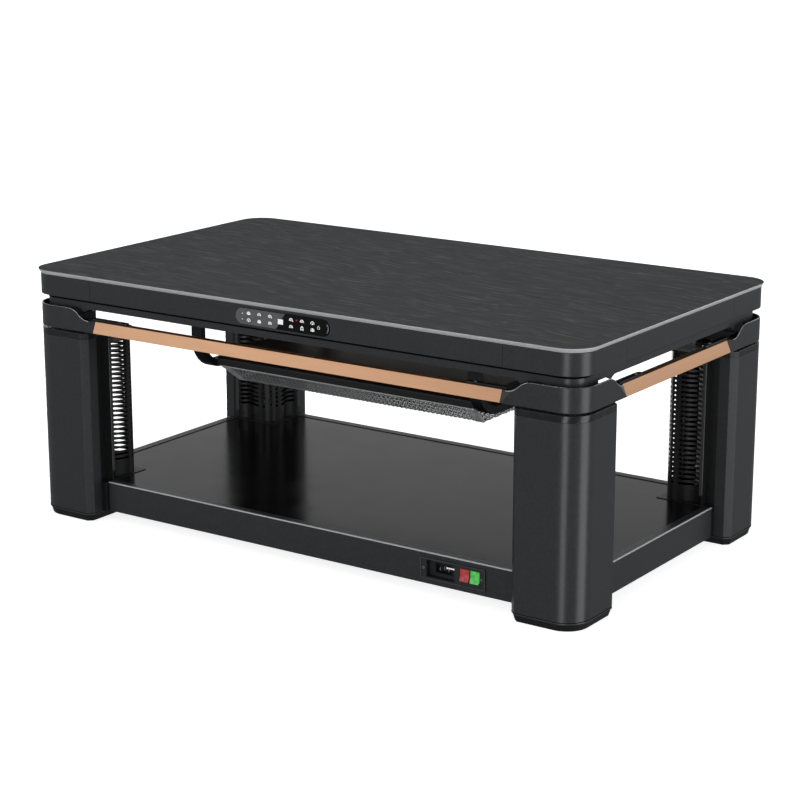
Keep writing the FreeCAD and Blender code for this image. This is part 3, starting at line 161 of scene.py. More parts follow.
def makeStone():
    material, tree, shader = newMaterial("sinteredStoneHoned", {"IOR": 1.54, "Specular IOR Level": 0.15})
    where = addNode(tree, "ShaderNodeTexCoord").outputs["Object"]
    turned = addNode(tree, "ShaderNodeMapping", {
        "Vector": where, "Rotation": (0, 0, math.radians(stoneLook["lean"])),
    }).outputs["Vector"]
    wander = addNode(tree, "ShaderNodeTexNoise", {
        "Vector": turned, "Scale": 1000 / stoneLook["sway"], "Detail": 2,
    })
    bent = addNode(tree, "ShaderNodeMix", {
        0: stoneLook["bend"], 4: turned, 5: wander.outputs["Color"],
    }, data_type="VECTOR")
    drawnOut = addNode(tree, "ShaderNodeMapping", {
        "Vector": bent.outputs[1],
        "Scale": perSize(stoneLook["vein"], (stoneLook["length"], 1, 1)),
    }).outputs["Vector"]
    veins = addNode(tree, "ShaderNodeTexNoise", {
        "Vector": drawnOut, "Scale": 1, "Detail": 6, "Roughness": 0.62, "Distortion": 0.4,
    }).outputs["Fac"]
    ramp = addNode(tree, "ShaderNodeValToRGB", {"Fac": veins}, [
        (0.36, stoneLook["dark"]), (0.55, stoneLook["middle"]), (0.72, stoneLook["light"]),
    ])
    small = addNode(tree, "ShaderNodeMapping", {"Vector": where, "Scale": perSize(stoneLook["grit"])})
    grit = addNode(tree, "ShaderNodeTexNoise", {
        "Vector": small.outputs["Vector"], "Scale": 1, "Detail": 2,
    }).outputs["Fac"]
    speckle = addNode(tree, "ShaderNodeMapRange", {"Value": grit, "To Min": 0.8, "To Max": 1.2})
    shade = addNode(tree, "ShaderNodeMix", {
        0: 1, 6: ramp.outputs["Color"], 7: speckle.outputs["Result"],
    }, data_type="RGBA", blend_type="MULTIPLY")
    facing = addNode(tree, "ShaderNodeTexCoord").outputs["Normal"]
    upward = addNode(tree, "ShaderNodeSeparateXYZ", {"Vector": facing}).outputs["Z"]
    face = addNode(tree, "ShaderNodeMapRange", {
        "Value": upward, "From Min": stoneLook["edgeTilt"][0], "From Max": stoneLook["edgeTilt"][1],
    })
    ground = addNode(tree, "ShaderNodeMix", {
        0: face.outputs["Result"], 6: linear(stoneLook["edge"]), 7: shade.outputs[2],
    }, data_type="RGBA")
    tree.links.new(ground.outputs[2], shader.inputs["Base Color"])
    rough = addNode(tree, "ShaderNodeMapRange", {"Value": veins, "To Min": 0.8, "To Max": 0.55})
    tree.links.new(rough.outputs["Result"], shader.inputs["Roughness"])
    coarse = addNode(tree, "ShaderNodeBump", {
        "Height": veins, "Distance": stoneLook["veinRelief"] / 1000, "Strength": 0.6,
    })
    fine = addNode(tree, "ShaderNodeBump", {
        "Height": grit, "Distance": stoneLook["gritRelief"] / 1000, "Strength": 0.5,
        "Normal": coarse.outputs["Normal"],
    })
    tree.links.new(fine.outputs["Normal"], shader.inputs["Normal"])
    return material


# Aluminium sheet, powder coated: charcoal, satin, with the faint orange peel of baked powder.
powderCoat = grained(
    newMaterial("aluminiumPowderCoated", {"IOR": 1.5, "Specular IOR Level": 0.35}),
    {"grain": 6, "detail": 0, "dark": "#323436", "light": "#35373a",
     "smooth": 0.28, "rough": 0.32, "relief": 0.01},
)
# Steel, stove enamelled: nearly black and a little glossier than the powder.
blackEnamel = grained(
    newMaterial("steelStoveEnamelled", {"IOR": 1.5, "Specular IOR Level": 0.4}),
    {"grain": 5, "dark": "#111213", "light": "#161718", "smooth": 0.3, "rough": 0.4, "relief": 0.06},
)
# Aluminium, brushed lengthwise and anodised rose gold: fine lines and a satin sheen.
# The real lines are about 0.1 mm, too fine to show, so they are drawn at 1.
roseLook = {"grain": 1, "dark": "#bd9373", "light": "#ca9f7f", "smooth": 0.34, "rough": 0.44, "relief": 0.02}
roseAlongX = grained(
    newMaterial("aluminiumAnodisedRoseLong", {"Metallic": 1}),
    {**roseLook, "stretch": (90, 1, 1)},
)
roseAlongY = grained(
    newMaterial("aluminiumAnodisedRoseShort", {"Metallic": 1}),
    {**roseLook, "stretch": (1, 90, 1)},
)
# ABS, moulded in a polished tool: near black, with soft clear reflections.
glossAbs = grained(
    newMaterial("absMouldedGloss", {"IOR": 1.53, "Specular IOR Level": 0.4}),
    {"grain": 20, "detail": 0, "dark": "#1a1b1c", "light": "#1e1f21",
     "smooth": 0.24, "rough": 0.28, "relief": 0.01},
)
# ABS, moulded in a spark-eroded tool: dull charcoal with a fine grain of 0.4 mm, drawn at 1.2.
mattAbs = grained(
    newMaterial("absMouldedTextured", {"IOR": 1.53, "Specular IOR Level": 0.4}),
    {"grain": 1.2, "dark": "#212325", "light": "#27292b", "smooth": 0.48, "rough": 0.6, "relief": 0.15},
)
# ABS, moulded black for the feet and the inlet: dull, so that the pale lip above it, a painted highlight,
# stands out.
footAbs = grained(
    newMaterial("absMouldedBlack", {"IOR": 1.53, "Specular IOR Level": 0.3}),
    {"grain": 1.2, "dark": "#101112", "light": "#151617", "smooth": 0.42, "rough": 0.55, "relief": 0.1},
)
# ABS, moulded and left satin: the switch plate's raised rim, a shade paler than the plate.
rimAbs = grained(
    newMaterial("absMouldedSatin", {"IOR": 1.53, "Specular IOR Level": 0.5}),
    {"grain": 2, "dark": "#3b3d3f", "light": "#444648", "smooth": 0.3, "rough": 0.38, "relief": 0.05},
)
# Rubber, extruded: the deep black of the joints at the feet, and painted shade: the black line in the gap
# under the apron and the crosses in the switch plate's screws.
jointRubberAndShade = grained(
    newMaterial("rubberJointsAndPaintedShade", {"IOR": 1.5, "Specular IOR Level": 0.05}),
    {"grain": 2, "dark": "#020203", "light": "#040405", "smooth": 0.7, "rough": 0.85, "relief": 0.05},
)
# Aluminium, powder coated a shade paler than the shells: the beads, and the lips of the feet, whose paleness
# is a painted highlight of the shells' bottom edges.
beadAndHighlightCoat = grained(
    newMaterial("aluminiumPowderCoatedPaleAndHighlight", {"IOR": 1.5, "Specular IOR Level": 0.4}),
    {"grain": 3.5, "dark": "#363839", "light": "#3c3e40", "smooth": 0.3, "rough": 0.4, "relief": 0.05},
)
# Bright aluminium: the lips of the collars, a painted highlight of the collars' top edges.
collarHighlightMetal = grained(
    newMaterial("aluminiumPaintedHighlight", {"Metallic": 1}),
    {"grain": 1.5, "dark": "#b9babc", "light": "#cfd0d2", "smooth": 0.2, "rough": 0.28, "relief": 0.01},
)
# Aluminium, bead blasted and clear anodised: a pale satin line round the top, the pale satin of the inner
# columns and of the strips at the guard's corners, and the pale bars along the shelf, which are a painted
# highlight.
satinAluminiumAndHighlight = grained(
    newMaterial("aluminiumBlastedAnodisedAndHighlight", {"Metallic": 0.35}),
    {"grain": 1.5, "dark": "#c6c7c9", "light": "#d4d5d7", "smooth": 0.3, "rough": 0.42, "relief": 0.01},
)
# Tempered glass, back painted black: the shelf, mirror-like with the slightest roller wave.
shelfGlass = grained(
    newMaterial("glassBackPainted", {"IOR": 1.52, "Specular IOR Level": 0.2}),
    {"grain": 60, "detail": 0, "dark": "#080909", "light": "#0b0c0c",
     "smooth": 0.16, "rough": 0.2, "relief": 0.03},
)
# Tempered glass, screen printed: the touch panel.
panelGlass = grained(
    newMaterial("glassScreenPrinted", {"IOR": 1.52, "Specular IOR Level": 0.3}),
    {"grain": 30, "dark": "#060607", "light": "#08090a", "smooth": 0.06, "rough": 0.1, "relief": 0.005},
)
# Steel, zinc plated: pale grey and cloudy.
zincSteel = grained(
    newMaterial("steelZincPlated", {"Metallic": 1}),
    {"grain": 4, "dark": "#8f9193", "light": "#a9abad", "smooth": 0.3, "rough": 0.45, "relief": 0.03},
)
# Steel, slit, drawn open and aluminised: the guard, silver grey and satin.
guardSteel = grained(
    newMaterial("steelExpandedAluminised", {"Metallic": 0.4}),
    {"grain": 3, "dark": "#b0b2b4", "light": "#cccecf", "smooth": 0.32, "rough": 0.45, "relief": 0.05},
)
# Expanded steel again, darkened: the guard's floor, whose darkness is painted shade of the heater's inside,
# so that the holes in front of it read black.
guardFloorShade = grained(
    newMaterial("steelExpandedPaintedShade", {"Metallic": 0.6}),
    {"grain": 12, "dark": "#141516", "light": "#242628", "smooth": 0.45, "rough": 0.6, "relief": 0.05},
)
# Brass, turned: yellow, with fine tool marks round it.
turnedBrass = grained(
    newMaterial("brassTurned", {"Metallic": 1}),
    {"grain": 1, "stretch": (8, 8, 1), "dark": "#a88a4a", "light": "#c4a763",
     "smooth": 0.28, "rough": 0.4, "relief": 0.02},
)
# Aluminium, die cast: the dull grey of the motors' bodies and of the heater's reflector.
castAluminium = grained(
    newMaterial("aluminiumDieCast", {"Metallic": 0.9}),
    {"grain": 2.5, "dark": "#5c5e60", "light": "#737577", "smooth": 0.45, "rough": 0.6, "relief": 0.12},
)
# Quartz, drawn tube, sandblasted inside: milky and glossy.
drawnQuartz = grained(
    newMaterial("quartzTube", {"IOR": 1.46, "Coat Weight": 0.6, "Coat Roughness": 0.05}),
    {"grain": 6, "dark": "#b9b4ac", "light": "#d6d2cb", "smooth": 0.2, "rough": 0.35, "relief": 0.02},
)
# Chipboard, pressed: tan flakes of about 4 mm under the stone.
chipboard = grained(
    newMaterial("chipboardPressed", {"IOR": 1.5, "Specular IOR Level": 0.2}),
    {"grain": 4, "dark": "#86684a", "light": "#b0926c", "smooth": 0.7, "rough": 0.9, "relief": 0.3},
)
# Glass fibre board, solder masked: green and glossy, faintly mottled by the weave under it.
solderMask = grained(
    newMaterial("fibreglassSolderMasked", {"IOR": 1.55, "Coat Weight": 0.3}),
    {"grain": 1.4, "dark": "#123c22", "light": "#1a4f2e", "smooth": 0.25, "rough": 0.35, "relief": 0.03},
)
# Polycarbonate, moulded clear and dyed: the lit rockers.
redCarbonate = grained(
    newMaterial("polycarbonateRed", {
        "IOR": 1.58, "Subsurface Weight": 0.3, "Subsurface Scale": 0.003, "Coat Weight": 0.5,
        "Emission Color": linear("#ff4a42"), "Emission Strength": 0.12,
    }),
    {"grain": 9, "dark": "#8f2022", "light": "#bd4a48", "smooth": 0.1, "rough": 0.18, "relief": 0.02},
)
greenCarbonate = grained(
    newMaterial("polycarbonateGreen", {
        "IOR": 1.58, "Subsurface Weight": 0.3, "Subsurface Scale": 0.003, "Coat Weight": 0.5,
        "Emission Color": linear("#5aff62"), "Emission Strength": 0.2,
    }),
    {"grain": 9, "dark": "#3fa545", "light": "#6bd66c", "smooth": 0.1, "rough": 0.18, "relief": 0.02},
)
# Ceramic ink, screen printed: the panel's white marks and the tag in the inlet's recess; the ink glows,
# which is painted light.
whiteInkPaintedGlow = grained(
    newMaterial("inkScreenPrinted", {
        "IOR": 1.5, "Emission Color": linear("#ffffff"), "Emission Strength": 0.35,
    }),
    {"grain": 1, "dark": "#dcdddd", "light": "#f2f3f3", "smooth": 0.5, "rough": 0.6, "relief": 0.01},
)
# A paler grey print on the glass: the left part of the panel, a painted reflection of the room in the glass.
reflectionPrint = grained(
    newMaterial("inkPaintedReflection", {"IOR": 1.5, "Coat Weight": 0.3, "Coat Roughness": 0.05}),
    {"grain": 20, "dark": "#5f6162", "light": "#676a6b", "smooth": 0.12, "rough": 0.18, "relief": 0.005},
)
# Epoxy, cast red over a diode: the panel's one lit point.
redLamp = grained(
    newMaterial("epoxyLampRed", {
        "IOR": 1.5, "Emission Color": linear("#ff1530"), "Emission Strength": 0.5,
    }),
    {"grain": 1, "dark": "#8a0f1c", "light": "#b01826", "smooth": 0.2, "rough": 0.3, "relief": 0.01},
)
honedStone = makeStone()
print("materials made")


def softened(piece, width, segments=2):
    weld = piece.modifiers.new("weld", "WELD")
    weld.merge_threshold = 0.00001
    bevel = piece.modifiers.new("edges", "BEVEL")
    bevel.width = width / 1000
    bevel.segments = segments
    bevel.limit_method = "ANGLE"
    bevel.angle_limit = math.radians(32)
    bevel.use_clamp_overlap = False
    shading = piece.modifiers.new("shading", "WEIGHTED_NORMAL")
    shading.keep_sharp = False


def dress(name, material, edge=0):
    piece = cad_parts[name]
    for slot in piece.material_slots:
        slot.material = material
    if edge:
        softened(piece, edge)


# The four legs: the signs of their x and y, and their names.
legs = [
    (sideX, sideY, f"{depth}_{side}")
    for sideX, side in ((-1, "left"), (1, "right"))
    for sideY, depth in ((-1, "front"), (1, "back"))
]

# Finish and edge radius in mm of every CAD solid that shows as it is.
dressed = {
    "top_plate": (honedStone, 0.8),
    "top_board": (chipboard, 0),
    "top_edge_trim": (satinAluminiumAndHighlight, 0.8),
    "apron_front": (powderCoat, 1.0),
    "apron_back": (powderCoat, 1.0),
    "apron_left": (powderCoat, 1.0),
    "apron_right": (powderCoat, 1.0),
    "apron_corners": (powderCoat, 1.0),
    "underframe_rails": (powderCoat, 0.5),
    "underframe_corners": (powderCoat, 0.5),
    "cross_bars": (blackEnamel, 0.6),
    "rails_long": (roseAlongX, 0.7),
    "rails_short": (roseAlongY, 0.7),
    "rail_tongues": (blackEnamel, 0.8),
    "rail_screws": (zincSteel, 0.2),
    "control_panel": (panelGlass, 0.3),
    "control_board": (solderMask, 0),
    "heater_hanger_left": (blackEnamel, 0.8),
    "heater_hanger_right": (blackEnamel, 0.8),
    "heater_housing": (blackEnamel, 0.5),
    "heater_tubes": (drawnQuartz, 0.5),
    "heater_tube_holders": (zincSteel, 0.4),
    "heater_reflector": (castAluminium, 0),
    "inner_columns": (satinAluminiumAndHighlight, 0.3),
    "outer_columns": (zincSteel, 0.3),
    "spindle_nuts": (turnedBrass, 0.3),
    "lift_motors": (castAluminium, 0.5),
    "leg_caps": (glossAbs, 0.5),
    "leg_feet": (footAbs, 0.6),
    "leg_heaters": (drawnQuartz, 0.3),
    "shelf_front": (powderCoat, 0.5),
    "shelf_back": (powderCoat, 0.5),
    "shelf_sides": (powderCoat, 0.5),
    "shelf_panel": (shelfGlass, 0.5),
    "shelf_bottom_cover": (blackEnamel, 0),
    "shelf_brackets": (blackEnamel, 0.4),
    "switch_plate": (mattAbs, 0.3),
    "switch_plate_screws": (zincSteel, 0.2),
    "power_inlet": (footAbs, 0.2),
    "power_box": (mattAbs, 0.5),
    "rocker_red": (redCarbonate, 0.5),
    "rocker_green": (greenCarbonate, 0.5),
}
for _, _, where in legs:
    dressed["collar_" + where] = (powderCoat, 0)
    dressed["leg_shell_" + where] = (powderCoat, 0.5)
    dressed["leg_grille_" + where] = (blackEnamel, 0)
    dressed["spindle_" + where] = (zincSteel, 0)
for name, (material, edge) in dressed.items():
    dress(name, material, edge)
print("solids dressed")


# Every piece below is drawn in millimetres; place turns its own two axes and a level into x, y and z.
def addPrism(mesh, outline, low, high, place):
    rings = []
    for level in (low, high):
        rings.append([mesh.verts.new(Vector(place(a, b, level)) / 1000) for a, b in outline])
    mesh.faces.new(rings[0])
    mesh.faces.new(rings[1][::-1])
    for index in range(len(outline)):
        follower = (index + 1) % len(outline)
        mesh.faces.new((rings[0][index], rings[1][index], rings[1][follower], rings[0][follower]))


# A ring between two outlines with as many spots each.
def addRing(mesh, outer, inner, low, high, place):
    loops = []
    for outline, level in ((outer, low), (outer, high), (inner, high), (inner, low)):
        loops.append([mesh.verts.new(Vector(place(a, b, level)) / 1000) for a, b in outline])
    for index in range(len(outer)):
        follower = (index + 1) % len(outer)
        for turn, loop in enumerate(loops):
            beyond = loops[(turn + 1) % 4]
            mesh.faces.new((loop[index], beyond[index], beyond[follower], loop[follower]))


def addPiece(name, mesh, material, body, edge=0):
    bmesh.ops.recalc_face_normals(mesh, faces=mesh.faces)
    data = bpy.data.meshes.new(name)
    mesh.to_mesh(data)
    mesh.free()
    data.materials.append(material)
    piece = bpy.data.objects.new(name, data)
    bpy.context.scene.collection.objects.link(piece)
    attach(piece, body)
    if edge:
        softened(piece, edge)
    return piece


# A round bar along a few spots, with closed ends.
def addBar(kind, where, spots, radius, material):
    curve = bpy.data.curves.new(kind, "CURVE")
    curve.dimensions = "3D"
    curve.bevel_depth = radius / 1000
    curve.bevel_resolution = 3
    curve.use_fill_caps = True
    line = curve.splines.new("POLY")
    line.points.add(len(spots) - 1)
    for point, spot in zip(line.points, spots):
        point.co = (*(along / 1000 for along in spot), 1)
    curve.materials.append(material)
    piece = bpy.data.objects.new(f"{kind}_{where}", curve)
    bpy.context.scene.collection.objects.link(piece)
    return piece


def turned(radius, first, last, steps, centre=(0, 0)):
    spots = []
    for step in range(steps + 1):
        angle = math.radians(first + (last - first) * step / steps)
        spots.append((centre[0] + radius * math.cos(angle), centre[1] + radius * math.sin(angle)))
    return spots


def roundedBox(halfX, halfY, radius, steps=10):
    spots = []
    for turn, sideX, sideY in ((0, 1, 1), (90, -1, 1), (180, -1, -1), (270, 1, -1)):
        centre = (sideX * (halfX - radius), sideY * (halfY - radius))
        spots += turned(radius, turn, turn + 90, steps, centre)
    return spots


# The outline of a line of some width, whose joints are mitred.
def stroked(spots, width):
    left, right = [], []
    for index, spot in enumerate(spots):
        before, after = Vector(spots[max(index - 1, 0)]), Vector(spots[min(index + 1, len(spots) - 1)])
        along = (after - before).normalized()
        across = Vector((-along.y, along.x)) * width / 2
        left.append(tuple(Vector(spot) + across))
        right.append(tuple(Vector(spot) - across))
    return left + right[::-1]


def upright(a, b, level):
    return a, b, level


def millimetres(node):
    return [[along * 1000 for along in corner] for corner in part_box(node)]


# The guard of expanded steel: a folded sheet of slit and stretched diamonds with meshed ends.
guardMesh = {
    "long": 11,                # mm from knot to knot along the heater
    "short": 32,               # mm across; with the strand, chosen so that the mesh shows from here
    "strand": 3.0,             # mm, on the floor
    "slopeShare": 0.55,        # the slopes' strands, as a share of the floor's
    "floorDrop": 55,           # mm that each long side slopes in
    "endDrop": 10,             # mm that each end slopes in
    "edgeInset": 3,
    "strip": 20,               # mm of plain sheet at the corners
    "stripTurn": 8,            # mm of it round the end
    "sheet": 1.2,
    "rim": 2,                  # mm wide
    "rimGap": 0.2,             # mm from the guard's top to the rim's
}


def makeGuardMesh():
    (_, _, bottom), (high, side, top) = millimetres("heater_guard")
    look = guardMesh
    drop, floor = top - bottom, 2 * (side - look["floorDrop"])
    slope = math.hypot(look["floorDrop"], drop)
    reach = floor / 2 + slope
    mesh = bmesh.new()
    knots = {}

    def knot(key, spot):
        if key not in knots:
            knots[key] = mesh.verts.new(Vector(spot) / 1000)
        return knots[key]

    def addDiamonds(name, halfX, halfY, inside, place):
        columns = int(halfX / look["long"] * 2)
        rows = int(halfY / look["short"] * 2)
        for column in range(-columns, columns + 1):
            for row in range(-rows, rows + 1):
                if (column + row) % 2 == 0:
                    continue
                ends = [(column - 1, row), (column, row - 1), (column + 1, row), (column, row + 1)]
                spots = [(c * look["long"] / 2, r * look["short"] / 2) for c, r in ends]
                if not all(inside(*spot) for spot in spots):
                    continue
                made = mesh.faces.new([knot((name, *e), place(*s)) for e, s in zip(ends, spots)])
                # The floor's diamonds take the dark second finish, which is painted shade.
                made.material_index = int(name == "sheet" and abs(row * look["short"] / 2) < floor / 2)

    def folded(x, along):
        out = max(abs(along) - floor / 2, 0) / slope
        across = min(abs(along), floor / 2) + out * look["floorDrop"]
        return x, math.copysign(across, along), bottom + out * drop

    def insideSheet(x, along):
        out = max(abs(along) - floor / 2, 0) / slope
        return abs(x) <= high - look["endDrop"] * (1 - out) and abs(along) <= reach

    def insideEnd(y, up):
        return 0 <= up <= drop and abs(y) <= floor / 2 + look["floorDrop"] * up / drop

    addDiamonds("sheet", high, reach, insideSheet, folded)
    for end in (-1, 1):
        def endPlace(y, up):
            return end * (high - look["endDrop"] * (1 - up / drop)), y, bottom + up

        addDiamonds(end, side, drop, insideEnd, endPlace)
    piece = addPiece("guardMesh", mesh, guardSteel, "table_top")
    piece.data.materials.append(guardFloorShade)
    strands = piece.modifiers.new("strands", "WIREFRAME")
    strands.thickness = look["strand"] / 1000
    thick = piece.vertex_groups.new(name="floor")
    level = (bottom + look["sheet"]) / 1000
    thick.add([spot.index for spot in piece.data.vertices if spot.co.z < level], 1, "ADD")
    strands.vertex_group = "floor"
    strands.thickness_vertex_group = look["slopeShare"]
    strands.use_even_offset = False
    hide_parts("heater_guard")


def makeGuardStrips():
    (_, _, bottom), (high, side, top) = millimetres("heater_guard")
    look = guardMesh
    floor = 2 * (side - look["floorDrop"])
    mesh = bmesh.new()
    for endX in (-1, 1):
        for endY in (-1, 1):
            inner = high - look["strip"]
            corner = [
                (endX * inner, endY * side, top),
                (endX * high, endY * side, top),
                (endX * (high - look["endDrop"]), endY * floor / 2, bottom),
                (endX * (inner - look["endDrop"]), endY * floor / 2, bottom),
            ]
            turn = look["stripTurn"]
            end = [
                (endX * high, endY * (side - turn), top),
                (endX * (high - look["endDrop"]), endY * (floor / 2 - turn), bottom),
            ]
            front = [mesh.verts.new(Vector(spot) / 1000) for spot in corner]
            back = [mesh.verts.new(Vector(spot) / 1000) for spot in end]
            mesh.faces.new(front)
            mesh.faces.new((front[1], back[0], back[1], front[2]))
    strips = addPiece("guardStrips", mesh, satinAluminiumAndHighlight, "table_top")
    sheet = strips.modifiers.new("sheet", "SOLIDIFY")
    sheet.thickness = look["sheet"] / 1000
    sheet.offset = 0


def makeGuardRim():
    _, (high, side, top) = millimetres("heater_guard")
    look = guardMesh
    mesh = bmesh.new()
    rim = look["rim"]
    wide = roundedBox(high, side, rim, 2)
    narrow = roundedBox(high - rim, side - rim, rim / 2, 2)
    addRing(mesh, wide, narrow, top - look["edgeInset"], top - look["rimGap"], upright)
    addPiece("guardRim", mesh, guardSteel, "table_top")


makeGuardMesh()
makeGuardStrips()
makeGuardRim()
print("guard made")

# Ink and lamps of the touch panel, from the panel's middle: x along it, z up it.
panelMarks = {
    "glassHeight": 34,
    "ink": 0.06,               # mm thick
    # The tint and the lighter print below are one paler print on the glass's left part: a painted
    # reflection.
    "reflectionThick": 0.02,              # mm thick, under the other marks
    "deep": -0.02,             # mm; the back of every mark, just inside the glass
    "line": 1.5,               # mm wide
    "thin": 0.9,
    "hair": 0.4,
    "powerRadius": 3,
    "powerBar": (0.8, 4.6),
    "endInset": 1.2,
    "edge": 0.5,               # mm of glass left free above and below the tint
    "columns": (-84, -57, -30, 23, 50, 76),
    "rows": (7, -7),
    "display": (-10, -5.8, 3, 4.5),
    "lamp": (36.5, 7.5, 1.5),
    "power": (91, -1),
    "dots": ((-100, 5.2), (-100, -6.8)),
    "dotRadius": 1.1,
    "paintedReflection": (8, -15),          # where the lighter print ends, at the top and the bottom
    "arc": 13.5,
}
arch = turned(3.9, 200, -20, 14, (0, -1.2))
panelIcons = {
    "bowl": [arch, turned(1.5, 0, 350, 10, (0, -0.6)), [(-3, -2.4), (3, -2.4)]],
    "roof": [arch, [(-1.8, -2), (0, 1), (1.8, -2)]],
    "heat": [arch, [(-1.2, -2.6), (-1.2, 0.8)], [(1.2, -2.6), (1.2, 0.8)]],
    "quilt": [arch, [(3.4, -2.4), (5, -3.4)], turned(1.2, 0, 350, 10, (0, -1))],
    "lamp": [arch, [(0, -3), (0, 0.6)], [(-2, -2.8), (2, -2.8)]],
    "timer": [turned(3.2, 0, 350, 16), [(-4, -4), (-2.4, -2.6)], [(2.4, -2.6), (4, -4)], [(0, 0), (0, 4.6)]],
}
panelOrder = (
    ("bowl", "roof", "quilt", "quilt", "heat", "lamp"),
    ("lamp", "bowl", "heat", "roof", "timer", "bowl"),
)


def makePanelMarks():
    (left, face, low), (right, _, high) = millimetres("control_panel")
    look = panelMarks
    middle, height = (low + high) / 2, look["glassHeight"]

    def onGlass(a, b, level):
        return a, face - level, middle + b

    ink, deep = look["ink"], look["deep"]
    marks = bmesh.new()
    for row, names in zip(look["rows"], panelOrder):
        for across, name in zip(look["columns"], names):
            for line in panelIcons[name]:
                spots = [(across + a, row + b) for a, b in line]
                addPrism(marks, stroked(spots, look["line"]), deep, ink, onGlass)
    across, up = look["power"]
    ring = turned(look["powerRadius"], 120, 420, 16, (across, up))
    bar = [(across, up + reach) for reach in look["powerBar"]]
    for spots in (ring, bar):
        addPrism(marks, stroked(spots, look["thin"]), deep, ink, onGlass)
    for spot in look["dots"]:
        addPrism(marks, turned(look["dotRadius"], 0, 345, 12, spot), deep, ink, onGlass)
    end = (right - height / 2 - look["endInset"], 0)
    arc = turned(look["arc"], -40, 40, 14, end)
    addPrism(marks, stroked(arc, look["hair"]), deep, ink, onGlass)
    addPiece("panelMarks", marks, whiteInkPaintedGlow, "table_top")

    display = bmesh.new()
    a, b, c, d = look["display"]
    addPrism(display, [(a, b), (c, b), (c, d), (a, d)], deep, ink, onGlass)
    addPiece("panelDisplay", display, whiteInkPaintedGlow, "table_top")

    lamp = bmesh.new()
    across, up, radius = look["lamp"]
    addPrism(lamp, turned(radius, 0, 345, 14, (across, up)), deep, ink, onGlass)
    addPiece("panelLamp", lamp, redLamp, "table_top")

    # The paler left part of the panel: a painted reflection.
    paintedReflection = bmesh.new()
    topX, lowX = look["paintedReflection"]
    bend = height / 2 - look["edge"]
    half = turned(bend, 90, 270, 20, (left + look["endInset"] + height / 2, 0))
    addPrism(paintedReflection, half + [(lowX, -bend), (topX, bend)], deep, look["reflectionThick"], onGlass)
    addPiece("panelReflection", paintedReflection, reflectionPrint, "table_top")
    print("panel marked")


makePanelMarks()

# A black strip between the apron and the underframe, which closes the gap as a black line: painted shade of
# the gap.
gapShade = {"proud": 1.0, "drop": 7.5, "setback": 16, "bend": 37, "gap": 0.1}


def makeGapShade():
    (_, _, low), (right, back, _) = millimetres("apron_corners")
    inset = gapShade["setback"] - gapShade["proud"]
    outer = roundedBox(right - inset, back - inset, gapShade["bend"] + gapShade["proud"])
    inner = roundedBox(right - gapShade["setback"], back - gapShade["setback"], gapShade["bend"])
    mesh = bmesh.new()
    addRing(mesh, outer, inner, low - gapShade["drop"], low - gapShade["gap"], upright)
    addPiece("apronGapShade", mesh, jointRubberAndShade, "table_top")
    print("seal made")


makeGapShade()

# Bright lips round the tops of the collars and down their S-shaped shoulders: painted highlights of those
# edges.
lip = {"radius": 1.1, "bend": 53, "fallStart": 106, "fallEnd": 162, "inset": 1.3, "sink": 0.8, "steps": 18}


def shoulderLine(top, low):
    fall, run = top - low, lip["fallEnd"] - lip["fallStart"]
    bend = (run ** 2 + fall ** 2) / (4 * fall)
    spots = []
    for step in range(lip["steps"] + 1):
        along = run * step / lip["steps"]
        if along <= run / 2:
            level = top - bend + math.sqrt(bend ** 2 - along ** 2)
        else:
            level = low + bend - math.sqrt(bend ** 2 - (run - along) ** 2)
        spots.append((lip["fallStart"] + along, level))
    return spots


def makeCollarHighlights():
    (left, front, _), (_, _, top) = millimetres("collar_front_left")
    low = millimetres("rails_long")[1][2]
    shoulder = shoulderLine(top - lip["sink"], low + lip["sink"] / 2)
    middle = (lip["bend"], lip["bend"])
    corner = turned(lip["bend"] - lip["inset"], 270, 180, lip["steps"], middle)
    spots = [(along, lip["inset"], level) for along, level in shoulder[::-1]]
    spots += [(a, b, top - lip["sink"]) for a, b in corner]
    spots += [(lip["inset"], along, level) for along, level in shoulder]
    for sideX, sideY, where in legs:
        places = [(sideX * (-left - a), sideY * (-front - b), level) for a, b, level in spots]
        piece = addBar("collarHighlightLip", where, places, lip["radius"], collarHighlightMetal)
        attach(piece, "table_top")
    print("lips made")


makeCollarHighlights()

# Half-round beads on the flanges of the leg heaters, with rounded lower ends above the shelf.
bead = {
    "near": 57.5,              # mm along the flange, from the collar's outer side
    "face": 165,               # mm out to the flange's face, from the collar's other outer side
    "width": 8,
    "proud": 2.4,
    "sunk": 0.3,
    "bevel": 1.4,
    "gap": 20,                 # mm above the shelf
    "topGap": 1,
}


def makeBeads():
    shelf = millimetres("shelf_front")[1][2]
    cap = millimetres("leg_caps")[0][2]
    (left, front, _), _ = millimetres("collar_front_left")
    low, high, radius = shelf + bead["gap"], cap - bead["topGap"], bead["width"] / 2
    middle = bead["near"] + radius
    outline = turned(radius, 180, 360, 12, (middle, low + radius))
    outline += [(middle + radius, high), (middle - radius, high)]
    for sideX, sideY, where in legs:
        mesh = bmesh.new()

        def onLongSide(a, b, level):
            return sideX * (-left - a), sideY * (-front - level), b

        def onShortSide(a, b, level):
            return sideX * (-left - level), sideY * (-front - a), b

        for place in (onLongSide, onShortSide):
            addPrism(mesh, outline, bead["face"] - bead["sunk"], bead["face"] + bead["proud"], place)
        addPiece("grilleBeads_" + where, mesh, beadAndHighlightCoat, "base", bead["bevel"])
    print("beads made")


makeBeads()

